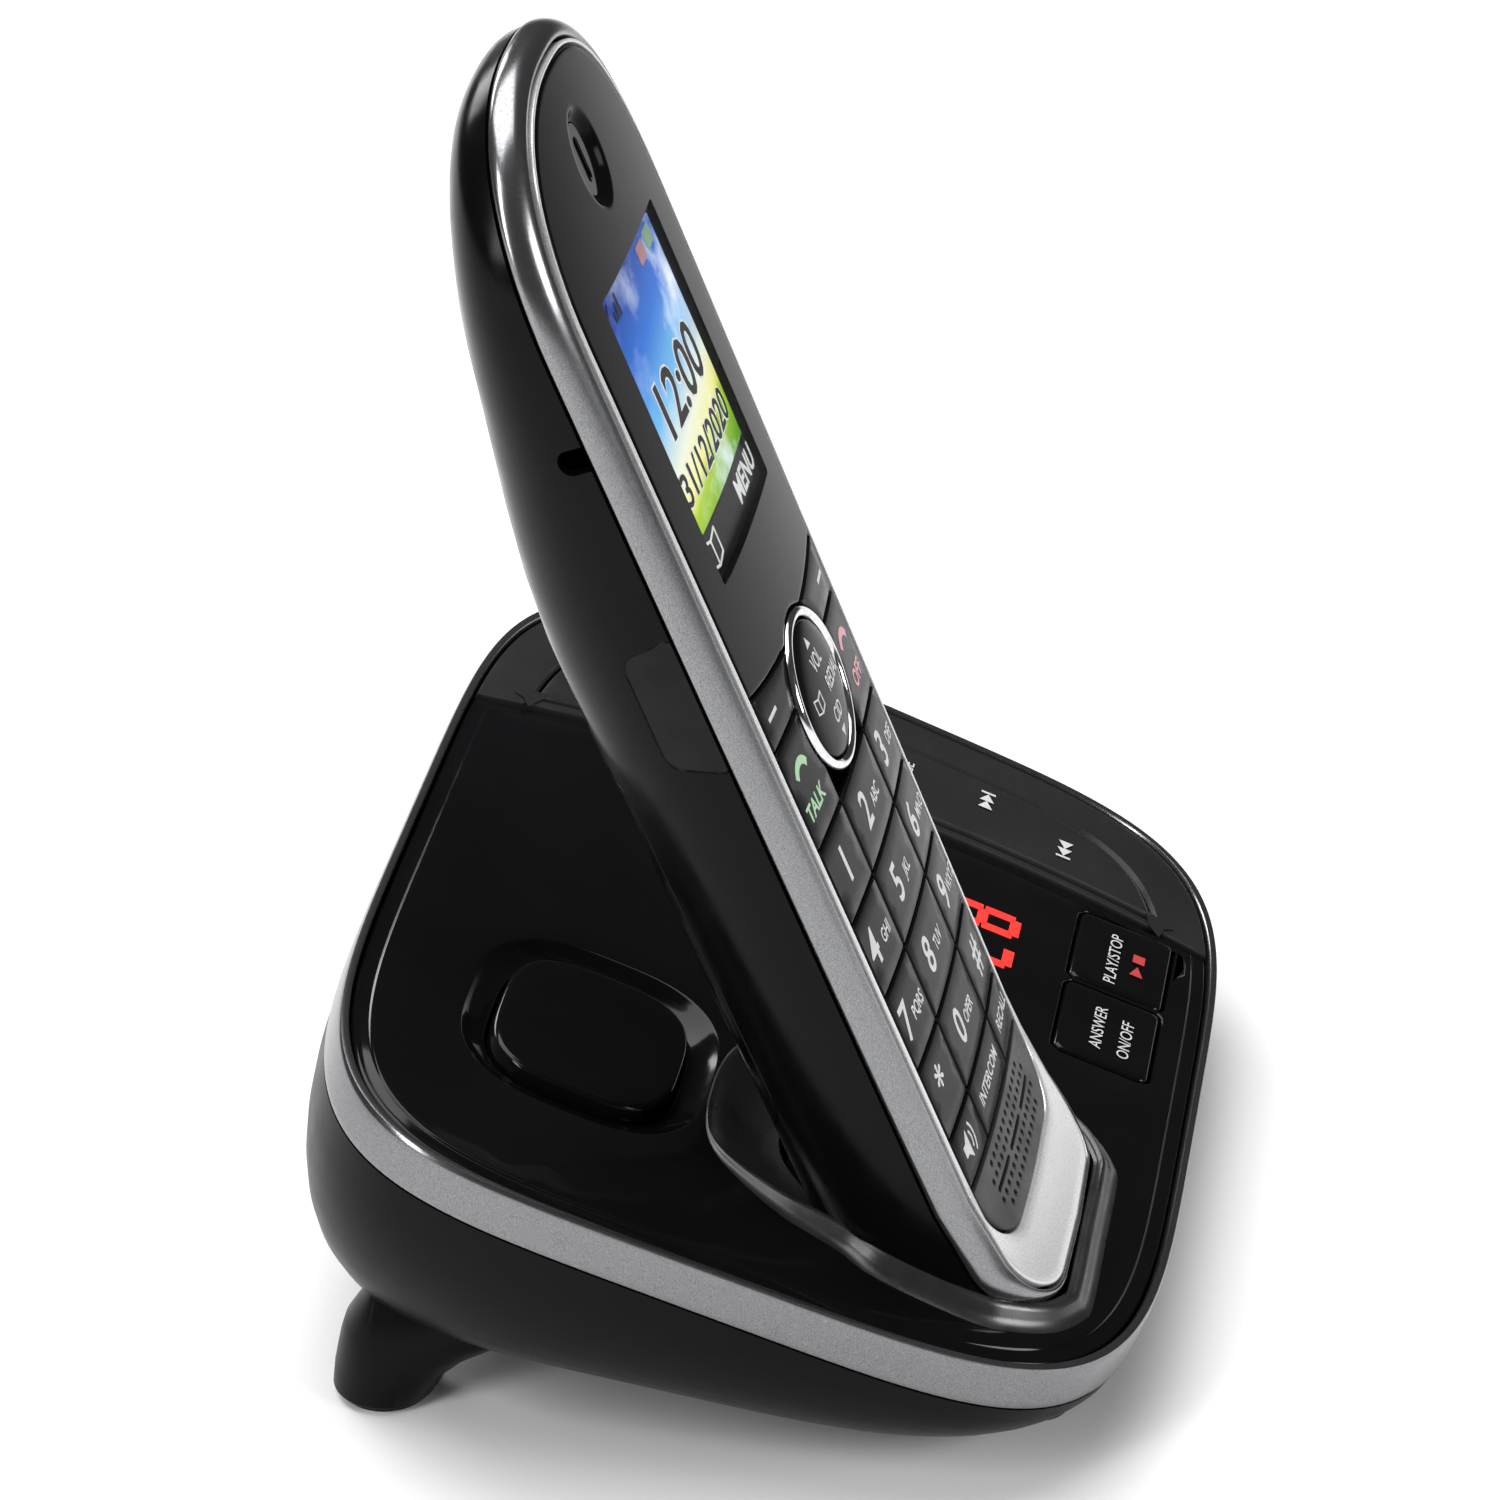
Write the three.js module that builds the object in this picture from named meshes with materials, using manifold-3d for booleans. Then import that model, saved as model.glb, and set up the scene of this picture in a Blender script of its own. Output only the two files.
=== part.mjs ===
// Cordless phone with a charging base. Millimetres, X to the user's right, Y away from the user, Z up.
// The base's top panel is tilted up at the back, and the handset leans back in the base's pocket.
import * as THREE from 'three';
import { mergeVertices } from 'three/addons/utils/BufferGeometryUtils.js';
import Module from 'manifold-3d';

const wasm = await Module();
wasm.setup();

// ---- Driving dimensions -------------------------------------------------------------------------

const DEG = Math.PI / 180;
const GAP = 0.3;                    // clearance between neighbouring pieces

// Base unit, in its own tilted frame: the top panel lies in z = 0, centred on the origin
const BASE_TILT = 20 * DEG;
const BASE_HEIGHT = 31.9;           // height of the top panel's centre over the table
const PANEL_HALF_X = 64.6;
const PANEL_HALF_Y = 50.4;
const PANEL_POWER = 4.6;            // superellipse power of the outline
const PANEL_TAPER = 0.045;          // the outline is wider towards the back
const PANEL_THICK = 2.2;
const RIM_WIDTH = 1.6;
const RIM_DEPTH = 5.8;
const SHELL = 2;                    // wall of the lower housing
const HOUSING_TUCK = 12;            // how far the underside pulls in from the outline
const UNDERSIDE_Z = -25.2;
const UNDERSIDE_SLOPE = -0.19;
const OUTLINE_POINTS = 52;

// Handset, in its own frame: x across, y up from the chin, z out of the face
const HANDSET_X = -31.6;
const HANDSET_Y = -36.85;
const HANDSET_LEAN = 48 * DEG;      // between the handset's length and the base's top panel
const HANDSET_TOP = 157.5;
const HANDSET_BOTTOM = -1;
const SHOULDER = 130;               // where the round top starts
const HALF_TOP = 24.6;
const HALF_BOTTOM = 22.3;
const TOP_POWER = 2.4;
const CORNER = 9.5;
const FACE_CURVE = 0.00224;         // how much the face falls off across its width
const CHIN_START = 18;
const CHIN_RADIUS = 46;             // the chin curls forward below CHIN_START
const SEAM_Z = -3.7;
const HANDSET_DEPTH = 22.6;
const HANDSET_WALL = 1.6;
const FACE_INSET = 3.7;
const FACE_BOTTOM = 8.3;
const FACE_THICK = 1.3;

// Keypad, in the handset's frame
const KEY_COLUMN = 8.1;             // half-width of the middle column
const KEY_ROWS = [17.9, 24.8, 34.7, 44.8, 54.8, 64.8];
const SOFTKEY_SPLIT = 77.8;
const LENS_EDGE = 86;               // the lens ends in a smile line that sags this much in the middle
const SMILE_SAG = 2.6;
const KEY_THICK = 1.9;
const NAV = { y: 75, ring: 9.6, hole: 8.3, button: 8 };

// Openings and buttons of the top panel, in the base's frame
const LOCATOR = { x: -31, y: 21.8, halfX: 12.5, halfY: 11.6, power: 3.2, recess: 3.7 };
const STRIP_CURVE = { x: -137, y: -11.6, radius: 178 };
const STRIP_INSET = 4.3;
const BUTTON_BACK = -32.2;
const BUTTON_FRONT = -44.9;
const PLAY = { left: 20.6, right: 36.4 };
const ANSWER = { left: 4, right: 19.8 };
const WINDOW = { left: 7, right: 37, front: -29.5, back: -11 };

const REAR_FOOT = { x: 50.5, y: 42, bottom: 6.2, top: 5.8, height: 24 };
const FRONT_FOOT = { x: 41, y: -34.5, radius: 4 };

// ---- Materials ----------------------------------------------------------------------------------

const finish = (color, roughness, metalness = 0) =>
  new THREE.MeshStandardMaterial({ color, roughness, metalness });

const glossBlack = finish(0x0a0a0b, 0.12);
const satinBlack = finish(0x121213, 0.35);
const keyBlack = finish(0x151516, 0.3);
const panelGrey = finish(0x3a3b3d, 0.45);
const satinSilver = finish(0x9b9da0, 0.38, 0.8);
const brightSilver = finish(0xd9dadc, 0.3, 0.7);
const rubberBlack = finish(0x1b1b1c, 0.8);
const boardGreen = finish(0x1f5c3a, 0.6);
const contactMetal = finish(0xc9b37a, 0.3, 1);
const steel = finish(0xb5b7ba, 0.35, 1);
const cellGreen = finish(0x2f7d4a, 0.45);
const screenBlue = finish(0x3a6fd0, 0.2);
const coneBlack = finish(0x222224, 0.7);
const redWindow = finish(0x1a0607, 0.1);

// ---- Solids -------------------------------------------------------------------------------------

// A closed body from rings of equal length; the ends are capped unless the rings close on themselves.
function loft(rings, closed = false) {
  const count = rings[0].length;
  const positions = rings.flat().flatMap((p) => [p.x, p.y, p.z]);
  const index = [];
  const spans = closed ? rings.length : rings.length - 1;
  for (let r = 0; r < spans; r += 1) {
    const a = r * count;
    const b = ((r + 1) % rings.length) * count;
    for (let i = 0; i < count; i += 1) {
      const j = (i + 1) % count;
      index.push(a + i, a + j, b + j, a + i, b + j, b + i);
    }
  }
  if (!closed) {
    const last = (rings.length - 1) * count;
    for (const [i, j, k] of capTriangles(count)) {
      index.push(i, k, j);
      index.push(last + i, last + j, last + k);
    }
  }
  const geometry = new THREE.BufferGeometry();
  geometry.setAttribute('position', new THREE.Float32BufferAttribute(positions, 3));
  geometry.setIndex(index);
  return volume(geometry) < 0 ? flipped(geometry) : geometry;
}

// Strips across a ring whose point i mirrors point count - i.
function capTriangles(count) {
  const triangles = [];
  for (let i = 0; i < count / 2; i += 1) {
    const mirror = (count - i) % count;
    if (i > 0) triangles.push([i, count - i - 1, mirror]);
    if (i + 1 < count / 2) triangles.push([i, i + 1, count - i - 1]);
  }
  return triangles;
}

function volume(geometry) {
  const at = geometry.getAttribute('position');
  const index = geometry.getIndex();
  const [a, b, c] = [new THREE.Vector3(), new THREE.Vector3(), new THREE.Vector3()];
  let sum = 0;
  for (let i = 0; i < index.count; i += 3) {
    a.fromBufferAttribute(at, index.getX(i));
    b.fromBufferAttribute(at, index.getX(i + 1));
    c.fromBufferAttribute(at, index.getX(i + 2));
    sum += a.dot(b.cross(c));
  }
  return sum / 6;
}

function flipped(geometry) {
  const index = geometry.getIndex();
  for (let i = 0; i < index.count; i += 3) {
    const second = index.getX(i + 1);
    index.setX(i + 1, index.getX(i + 2));
    index.setX(i + 2, second);
  }
  return geometry;
}

function toSolid(geometry) {
  const bare = geometry.clone();
  bare.deleteAttribute('normal');
  bare.deleteAttribute('uv');
  const merged = mergeVertices(bare, 1e-4);
  return new wasm.Manifold(new wasm.Mesh({
    numProp: 3,
    vertProperties: new Float32Array(merged.getAttribute('position').array),
    triVerts: new Uint32Array(merged.getIndex().array),
  }));
}

function toGeometry(solid) {
  const mesh = solid.getMesh();
  const geometry = new THREE.BufferGeometry();
  geometry.setAttribute('position', new THREE.Float32BufferAttribute(mesh.vertProperties, 3));
  geometry.setIndex(new THREE.Uint32BufferAttribute(mesh.triVerts, 1));
  return geometry;
}

const cut = (body, ...tools) =>
  toGeometry(tools.reduce((solid, tool) => solid.subtract(toSolid(tool)), toSolid(body)));
const join = (body, ...others) =>
  toGeometry(others.reduce((solid, other) => solid.add(toSolid(other)), toSolid(body)));
const common = (body, tool) => toGeometry(toSolid(body).intersect(toSolid(tool)));

// A box from its lowest and highest corner.
function box(x0, y0, z0, x1, y1, z1) {
  return new THREE.BoxGeometry(x1 - x0, y1 - y0, z1 - z0)
    .translate((x0 + x1) / 2, (y0 + y1) / 2, (z0 + z1) / 2);
}

// A disc or cone standing along Z, from z0 up to z1.
function disc(x, y, z0, z1, radius, topRadius = radius, sides = 24) {
  return new THREE.CylinderGeometry(topRadius, radius, z1 - z0, sides)
    .rotateX(Math.PI / 2).translate(x, y, (z0 + z1) / 2);
}

// A straight prism of a polygon given as [x, y] pairs.
function prism(points, z0, z1) {
  const shape = new THREE.Shape(points.map(([x, y]) => new THREE.Vector2(x, y)));
  return new THREE.ExtrudeGeometry(shape, { depth: z1 - z0, bevelEnabled: false }).translate(0, 0, z0);
}

function superellipse(halfX, halfY, power, count, taper = 0) {
  return Array.from({ length: count }, (_, i) => {
    const angle = (i / count) * 2 * Math.PI;
    const c = Math.cos(angle);
    const s = Math.sin(angle);
    const y = halfY * Math.sign(s) * Math.abs(s) ** (2 / power);
    const x = (halfX + taper * y) * Math.sign(c) * Math.abs(c) ** (2 / power);
    return new THREE.Vector2(x, y);
  });
}

const raise = (outline, height) =>
  outline.map(({ x, y }) => new THREE.Vector3(x, y, typeof height === 'function' ? height(x, y) : height));

function node(parent, name, geometry, material) {
  const mesh = new THREE.Mesh(geometry, material);
  mesh.name = name;
  parent.add(mesh);
  return mesh;
}

const phone = new THREE.Group();
const base = new THREE.Group();
base.rotation.x = BASE_TILT;
base.position.z = BASE_HEIGHT;
const handset = new THREE.Group();
handset.rotation.x = HANDSET_LEAN;
handset.position.set(HANDSET_X, HANDSET_Y, 0);
base.add(handset);
phone.add(base);

// ---- Handset shapes -----------------------------------------------------------------------------

// The handset's outline seen from the front, pulled in by its own amount at the sides, top and bottom.
function handsetOutline(side, top = side, bottom = side) {
  const floor = HANDSET_BOTTOM + bottom;
  const corner = Math.max(CORNER - side * 0.5, 3);
  const low = HALF_BOTTOM - side;
  const high = HALF_TOP - side;
  const right = [new THREE.Vector2(0, floor)];
  for (let i = 0; i <= 4; i += 1) {
    const angle = (i / 4) * 90 * DEG;
    const x = low - corner * (1 - Math.sin(angle));
    right.push(new THREE.Vector2(x, floor + corner * (1 - Math.cos(angle))));
  }
  for (let i = 1; i <= 4; i += 1) {
    const y = THREE.MathUtils.lerp(floor + corner, SHOULDER, i / 5);
    right.push(new THREE.Vector2(THREE.MathUtils.lerp(low, high, i / 5), y));
  }
  const crown = HANDSET_TOP - top - SHOULDER;
  for (let i = 0; i <= 7; i += 1) {
    const angle = (i / 7) * 90 * DEG;
    const x = high * Math.max(Math.cos(angle), 0) ** (2 / TOP_POWER);
    right.push(new THREE.Vector2(i === 7 ? 0 : x, SHOULDER + crown * Math.sin(angle) ** (2 / TOP_POWER)));
  }
  const left = right.slice(1, -1).reverse().map(({ x, y }) => new THREE.Vector2(-x, y));
  return [...right, ...left];
}

const chinRise = (y) => Math.max(CHIN_START - y, 0) ** 2 / (2 * CHIN_RADIUS);
const faceHeight = (x, y) => chinRise(y) - FACE_CURVE * x * x;
const onFace = (outline, height) => raise(outline, (x, y) => height + faceHeight(x, y));

// Bends any flat piece of the keypad onto the curved face.
function bent(geometry) {
  const at = geometry.getAttribute('position');
  for (let i = 0; i < at.count; i += 1) {
    at.setZ(i, at.getZ(i) + faceHeight(at.getX(i), at.getY(i)));
  }
  return geometry;
}

// How far the back stands behind the face at a height: full over the grip, thinner at the ear.
function backDepth(y) {
  return HANDSET_DEPTH - 8.5 * THREE.MathUtils.smoothstep(y, 92, 152);
}

// The back shell's outer form grown by an amount: rings from the seam to the back.
const BACK_RINGS = [
  { part: 0, side: 0.2, top: 0.3, bottom: 0.2 },
  { part: 0.25, side: 0.7, top: 1.6, bottom: 2 },
  { part: 0.5, side: 2.2, top: 4.4, bottom: 5 },
  { part: 0.75, side: 5.4, top: 9, bottom: 9.8 },
  { part: 0.92, side: 9.6, top: 14.8, bottom: 15.6 },
  { part: 1, side: 13.5, top: 21, bottom: 22 },
];

// Its rings with the outline grown by an amount; a wall is a negative growth.
function backRings(grow) {
  return BACK_RINGS.map(({ part, side, top, bottom }) => {
    const outline = handsetOutline(side - grow, top - grow, bottom - grow);
    return raise(outline, (x, y) => {
      const seam = SEAM_Z - GAP + faceHeight(x, y);
      return THREE.MathUtils.lerp(seam, -backDepth(y) - grow, part);
    });
  });
}

// The back's solid form, reaching an extra height above the seam.
function backForm(grow, extraTop) {
  const first = handsetOutline(BACK_RINGS[0].side - grow);
  const top = raise(first, (x, y) => SEAM_Z + extraTop + faceHeight(x, y));
  return loft([top, ...backRings(grow)]);
}

function faceBody() {
  const outline = (inset) => {
    const bottom = FACE_BOTTOM - HANDSET_BOTTOM + (inset - FACE_INSET);
    return handsetOutline(inset, inset, bottom);
  };
  const insets = [FACE_INSET, 8, 13, 17.5];
  const under = insets.toReversed().map((inset) => onFace(outline(inset), -FACE_THICK));
  const over = insets.map((inset) => onFace(outline(inset), 0));
  return loft([...under, ...over]);
}

// A ring between two outlines: sections are [outline, height] pairs that go once round it.
const ringBody = (sections) => loft(sections.map(([outline, height]) => onFace(outline, height)), true);

function frontFrame() {
  return ringBody([
    [handsetOutline(0.2), SEAM_Z],
    [handsetOutline(0), SEAM_Z + 1],
    [handsetOutline(0.35), SEAM_Z + 2.3],
    [handsetOutline(1.2), SEAM_Z + 3.2],
    [handsetOutline(2.4, 2.4, 0.8), -0.2],
    [handsetOutline(2.6, 2.6, 0.95), -0.6],
    [handsetOutline(2.6, 2.6, 0.95), SEAM_Z],
  ]);
}

function faceTrim() {
  const outer = handsetOutline(2.95, 2.95, 1.25);
  const bottom = FACE_BOTTOM - HANDSET_BOTTOM;
  const inner = handsetOutline(FACE_INSET - GAP, FACE_INSET - GAP, bottom - GAP);
  const middle = outer.map((p, i) => p.clone().lerp(inner[i], 0.5));
  const deep = -FACE_THICK - 0.5;
  return ringBody([
    [outer, deep],
    [outer, -0.25],
    [middle, 0.05],
    [inner, -0.1],
    [inner, deep],
    [middle, deep],
  ]);
}

// ---- Handset nodes ------------------------------------------------------------------------------

const face = faceBody();
const ear = { y: 142.7, halfX: 4.7, halfY: 5.9 };
const earRing = (inset, z) => raise(superellipse(ear.halfX - inset, ear.halfY - inset, 2, 20), z);
const earDish = loft([earRing(0, 1), earRing(1.4, -0.9)]).translate(0, ear.y, 0);
const earSlot = box(-0.8, ear.y - 2.6, -4, 0.8, ear.y + 2.6, 2);

node(handset, 'handset_front_frame', frontFrame(), satinSilver);
node(handset, 'handset_face_trim', faceTrim(), brightSilver);

// The clear panel over the screen: it ends in a smile line, with a bay for the navigation ring
function smileRegion(drop) {
  const line = Array.from({ length: 9 }, (_, i) => {
    const x = -24 + 6 * i;
    return [x, LENS_EDGE - SMILE_SAG * (1 - (x / 24) ** 2) - drop];
  });
  return prism([...line, [24, 170], [-24, 170]], -10, 10);
}
const lensRegion = smileRegion(0);
const navBay = disc(0, NAV.y, -10, 10, NAV.ring + GAP, NAV.ring + GAP, 32);
node(handset, 'handset_lens', cut(common(face, lensRegion), navBay, earDish, earSlot), glossBlack);

const micRegion = box(-30, 0, -10, 30, KEY_ROWS[0] - GAP, 10);
const micHoles = [-8, 0, 8].map((x) => box(x - 2.2, 12.4, -10, x + 2.2, 13.6, 10));
node(handset, 'handset_mic_panel', cut(common(face, micRegion), ...micHoles), panelGrey);

// Half-width of the keypad at a height, just inside the trim
function keypadHalf(y) {
  const low = HANDSET_BOTTOM + CORNER;
  const t = (y - low) / (SHOULDER - low);
  return THREE.MathUtils.lerp(HALF_BOTTOM, HALF_TOP, t) - FACE_INSET - 0.15;
}

// A flat key between two heights, bent onto the face; its outer side follows the trim.
function keyTile(column, y0, y1, ...tools) {
  const g = GAP / 2;
  const inner = column === 0 ? -KEY_COLUMN + g : KEY_COLUMN + g;
  const outer = (y) => (column === 0 ? KEY_COLUMN - g : keypadHalf(y));
  const sign = column < 0 ? -1 : 1;
  const corners = [[inner, y0 + g], [outer(y0), y0 + g], [outer(y1), y1 - g], [inner, y1 - g]];
  const points = corners.map(([x, y]) => [sign * x, y]);
  const flat = prism(sign < 0 ? points.reverse() : points, -KEY_THICK, 0);
  const shaped = tools.length > 0 ? cut(flat, ...tools) : mergeVertices(bare(flat), 1e-4);
  return bent(shaped);
}

function bare(geometry) {
  geometry.deleteAttribute('normal');
  geometry.deleteAttribute('uv');
  return geometry;
}

const KEY_NAMES = [
  ['speakerphone_key', 'intercom_key', 'recall_key'],
  ['key_star', 'key_0', 'key_hash'],
  ['key_7', 'key_8', 'key_9'],
  ['key_4', 'key_5', 'key_6'],
  ['key_1', 'key_2', 'key_3'],
];
KEY_NAMES.forEach((row, r) => row.forEach((name, c) => {
  node(handset, name, keyTile(c - 1, KEY_ROWS[r], KEY_ROWS[r + 1]), keyBlack);
}));

for (const [side, call, soft] of [[-1, 'talk_key', 'softkey_left'], [1, 'off_key', 'softkey_right']]) {
  node(handset, call, keyTile(side, KEY_ROWS[5], SOFTKEY_SPLIT, navBay), keyBlack);
  node(handset, soft, keyTile(side, SOFTKEY_SPLIT, LENS_EDGE + 1, navBay, smileRegion(GAP)), keyBlack);
}

// A turned body about the navigation key's axis, from [radius, height] pairs.
function navBody(profile) {
  const points = profile.map(([r, z]) => new THREE.Vector2(r, z));
  return new THREE.LatheGeometry(points, 28).rotateX(Math.PI / 2).translate(0, NAV.y, 0);
}
const { ring, hole, button } = NAV;
node(handset, 'nav_ring', bare(navBody([[hole, -2.2], [ring, -2.2], [ring, -0.2], [ring - 0.6, 0.4],
  [hole, 0.1], [hole, -2.2]])), brightSilver);
node(handset, 'nav_button', bare(navBody([[0, -1.9], [button, -1.9], [button, 0], [6, 0.5], [3, 0.8],
  [0, 0.9]])), keyBlack);

// Inside the handset
node(handset, 'keypad_mat', box(-18.5, 19, -4.2, 18.5, 84, -3.4), rubberBlack);
node(handset, 'handset_pcb', box(-19, 15, -5.9, 19, 134, -4.9), boardGreen);
node(handset, 'display_module', box(-16, 92, -4.5, 16, 134, -2.6), screenBlue);
node(handset, 'earpiece_speaker', disc(0, ear.y, -5.6, -2.2, 6.3), coneBlack);
node(handset, 'microphone', disc(0, 11.6, -5, -1.8, 2.6, 2.6, 16), steel);
node(handset, 'ringer_speaker', disc(0, 104, -14, -9, 8.5), coneBlack);
const CELL = { radius: 5.1, x: 5.5, z: -13.6, bottom: 31.5, top: 75.5 };
for (const [side, name] of [[-1, 'battery_cell_1'], [1, 'battery_cell_2']]) {
  const length = CELL.top - CELL.bottom;
  const cell = new THREE.CylinderGeometry(CELL.radius, CELL.radius, length, 20)
    .translate(side * CELL.x, (CELL.top + CELL.bottom) / 2, CELL.z);
  node(handset, name, bare(cell), cellGreen);
}

// Back shell: a tray with a door over the cells, a headset socket at the side and two charge contacts
const DOOR = { half: 17.5, bottom: 30, top: 80, depth: 15 };
const JACK = { y: 87.5, halfY: 8, z0: -11.2, z1: -5.6, x: -18.8 };
const CONTACT = { x: 8, y: 3.1, z: -10.7, halfX: 2.6, halfLong: 2.4, halfThick: 0.45, turn: 33 * DEG };

function contactPlate(side, grow) {
  const { halfX, halfLong, halfThick } = CONTACT;
  return new THREE.BoxGeometry(2 * (halfX + grow), 2 * (halfThick + grow * 4), 2 * (halfLong + grow))
    .rotateX(CONTACT.turn).translate(side * CONTACT.x, CONTACT.y, CONTACT.z);
}

const shellTray = loft([...backRings(0).toReversed(), ...backRings(-HANDSET_WALL)]);
const door = box(-DOOR.half, DOOR.bottom, -40, DOOR.half, DOOR.top, -DOOR.depth);
const doorGap = box(-DOOR.half - GAP, DOOR.bottom - GAP, -40, DOOR.half + GAP, DOOR.top + GAP,
  -DOOR.depth + GAP);
const jackCut = box(-30, JACK.y - JACK.halfY, JACK.z0, JACK.x, JACK.y + JACK.halfY, JACK.z1);
const seamSlot = box(-30, 117.6, -8, -20, 120.6, -5.4);
node(handset, 'handset_back_shell', cut(shellTray, doorGap, jackCut, seamSlot, contactPlate(-1, GAP),
  contactPlate(1, GAP)), glossBlack);
node(handset, 'battery_cover', common(shellTray, door), glossBlack);
node(handset, 'handset_contact_left', bare(contactPlate(-1, 0)), contactMetal);
node(handset, 'handset_contact_right', bare(contactPlate(1, 0)), contactMetal);

// Rubber cover of the headset socket: it carries on the side's curve
const coverHalf = JACK.halfY - GAP;
const coverBlock = box(-30, JACK.y - coverHalf, JACK.z0 + GAP, -21.2, JACK.y + coverHalf, JACK.z1 - GAP);
node(handset, 'headset_jack_cover', common(backForm(0, 0), coverBlock), rubberBlack);
const socket = box(-20.6, JACK.y - 3.2, JACK.z0 + 0.4, -9, JACK.y + 3.2, JACK.z1 - 1);
const bore = new THREE.CylinderGeometry(1.3, 1.3, 9, 12).rotateZ(Math.PI / 2)
  .translate(-17.5, JACK.y, (JACK.z0 + JACK.z1) / 2 - 0.3);
node(handset, 'headset_socket', cut(socket, bore), satinBlack);

// ---- Base unit ----------------------------------------------------------------------------------

const panelOutline = (grow, power = PANEL_POWER) =>
  superellipse(PANEL_HALF_X + grow, PANEL_HALF_Y + grow, power, OUTLINE_POINTS, PANEL_TAPER);

// The handset's form in the base's frame, grown by the play round it, for the pocket.
function handsetForm(grow) {
  return backForm(grow, 9).rotateX(HANDSET_LEAN).translate(HANDSET_X, HANDSET_Y, 0);
}

// A column with the section of a superellipse standing at a point of the panel.
function pad(spot, grow, z0, z1, topGrow = grow) {
  const section = (extra) =>
    superellipse(spot.halfX + extra, spot.halfY + extra, spot.power, 28)
      .map((p) => p.add(new THREE.Vector2(spot.x, spot.y)));
  return loft([raise(section(grow), z0), raise(section(topGrow), z1)]);
}

// The curved strip along the right side: inside the outline and right of a large arc.
function stripBody(grow, z0, z1) {
  const outline = panelOutline(grow - STRIP_INSET);
  const slab = loft([raise(outline, z0), raise(outline, z1)]);
  const arc = disc(STRIP_CURVE.x, STRIP_CURVE.y, z0 - 1, z1 + 1, STRIP_CURVE.radius - grow,
    STRIP_CURVE.radius - grow, 220);
  return cut(slab, arc);
}

const BELOW = -3.2;
const panelPlate = loft([
  raise(panelOutline(-0.2), -PANEL_THICK),
  raise(panelOutline(0), -PANEL_THICK + 0.2),
  raise(panelOutline(0), -0.4),
  raise(panelOutline(-0.4), 0),
]);
const pocketBlock = common(handsetForm(2.4), box(-80, -80, -40, 80, 80, -0.6));
const windowCut = (grow, z0) =>
  box(WINDOW.left - grow, WINDOW.front - grow, z0, WINDOW.right + grow, WINDOW.back + grow, 2);
const buttonBox = ({ left, right }, grow, z0, z1) =>
  box(left - grow, BUTTON_FRONT - grow, z0, right + grow, BUTTON_BACK + grow, z1);
// The base's two charge pins stand under the handset's contacts and pass through the pocket's floor
const PIN = { y: -26.8, halfX: 1.2, halfY: 1.5, bottom: -14, top: -5.8 };
function pinBox(side, grow, z0, z1) {
  const x = HANDSET_X + side * CONTACT.x;
  const halfX = PIN.halfX + grow;
  const halfY = PIN.halfY + grow;
  return box(x - halfX, PIN.y - halfY, z0, x + halfX, PIN.y + halfY, z1);
}
const topPanel = cut(
  join(panelPlate, pocketBlock),
  handsetForm(0.8),
  pad(LOCATOR, GAP, -10, 2),
  pad(LOCATOR, GAP, -1.4, 0.6, LOCATOR.recess + 0.6),
  stripBody(GAP, -5, 2),
  windowCut(GAP, -5),
  buttonBox(PLAY, GAP, -5, 2),
  buttonBox(ANSWER, GAP, -5, 2),
  pinBox(-1, GAP, PIN.bottom, PIN.top + 2),
  pinBox(1, GAP, PIN.bottom, PIN.top + 2),
);
node(base, 'base_top_panel', topPanel, glossBlack);
node(base, 'locator_button', pad(LOCATOR, 0, -3.6, 0.5), glossBlack);
node(base, 'function_strip', stripBody(0, BELOW, 0), panelGrey);
node(base, 'play_stop_button', bare(buttonBox(PLAY, 0, BELOW, 0)), satinBlack);
node(base, 'answer_button', bare(buttonBox(ANSWER, 0, BELOW, 0)), satinBlack);
node(base, 'counter_window', bare(windowCut(0, -1.6)), redWindow);

node(base, 'base_trim_ring', loft([
  raise(panelOutline(GAP), -RIM_DEPTH),
  raise(panelOutline(GAP), 0),
  raise(panelOutline(GAP + 0.8), 0.2),
  raise(panelOutline(1.35), 0),
  raise(panelOutline(RIM_WIDTH), -1),
  raise(panelOutline(RIM_WIDTH + 0.1), -3),
  raise(panelOutline(RIM_WIDTH), -RIM_DEPTH),
], true), satinSilver);

// Lower housing: a bowl whose sides turn in to a sloping underside, on two tall feet at the back
const underside = (y) => UNDERSIDE_Z + UNDERSIDE_SLOPE * y;
function bowl(shrink, topZ) {
  const angles = [0, 22, 42, 60, 75, 90];
  const rings = angles.map((angle) => {
    const tuck = HOUSING_TUCK * (1 - Math.cos(angle * DEG));
    const power = PANEL_POWER - 0.6 * Math.sin(angle * DEG);
    const outline = panelOutline(RIM_WIDTH - 0.2 - shrink - tuck, power);
    const start = -RIM_DEPTH - GAP;
    return raise(outline, (x, y) => start + (underside(y) + shrink - start) * Math.sin(angle * DEG));
  });
  const lid = panelOutline(RIM_WIDTH - 0.2 - shrink);
  return topZ === undefined ? loft(rings) : loft([raise(lid, topZ), ...rings]);
}

// Stands a piece upright in the world: x and y on the table, z over it.
function upright(geometry) {
  return geometry.translate(0, 0, -BASE_HEIGHT).rotateX(-BASE_TILT);
}

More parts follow.
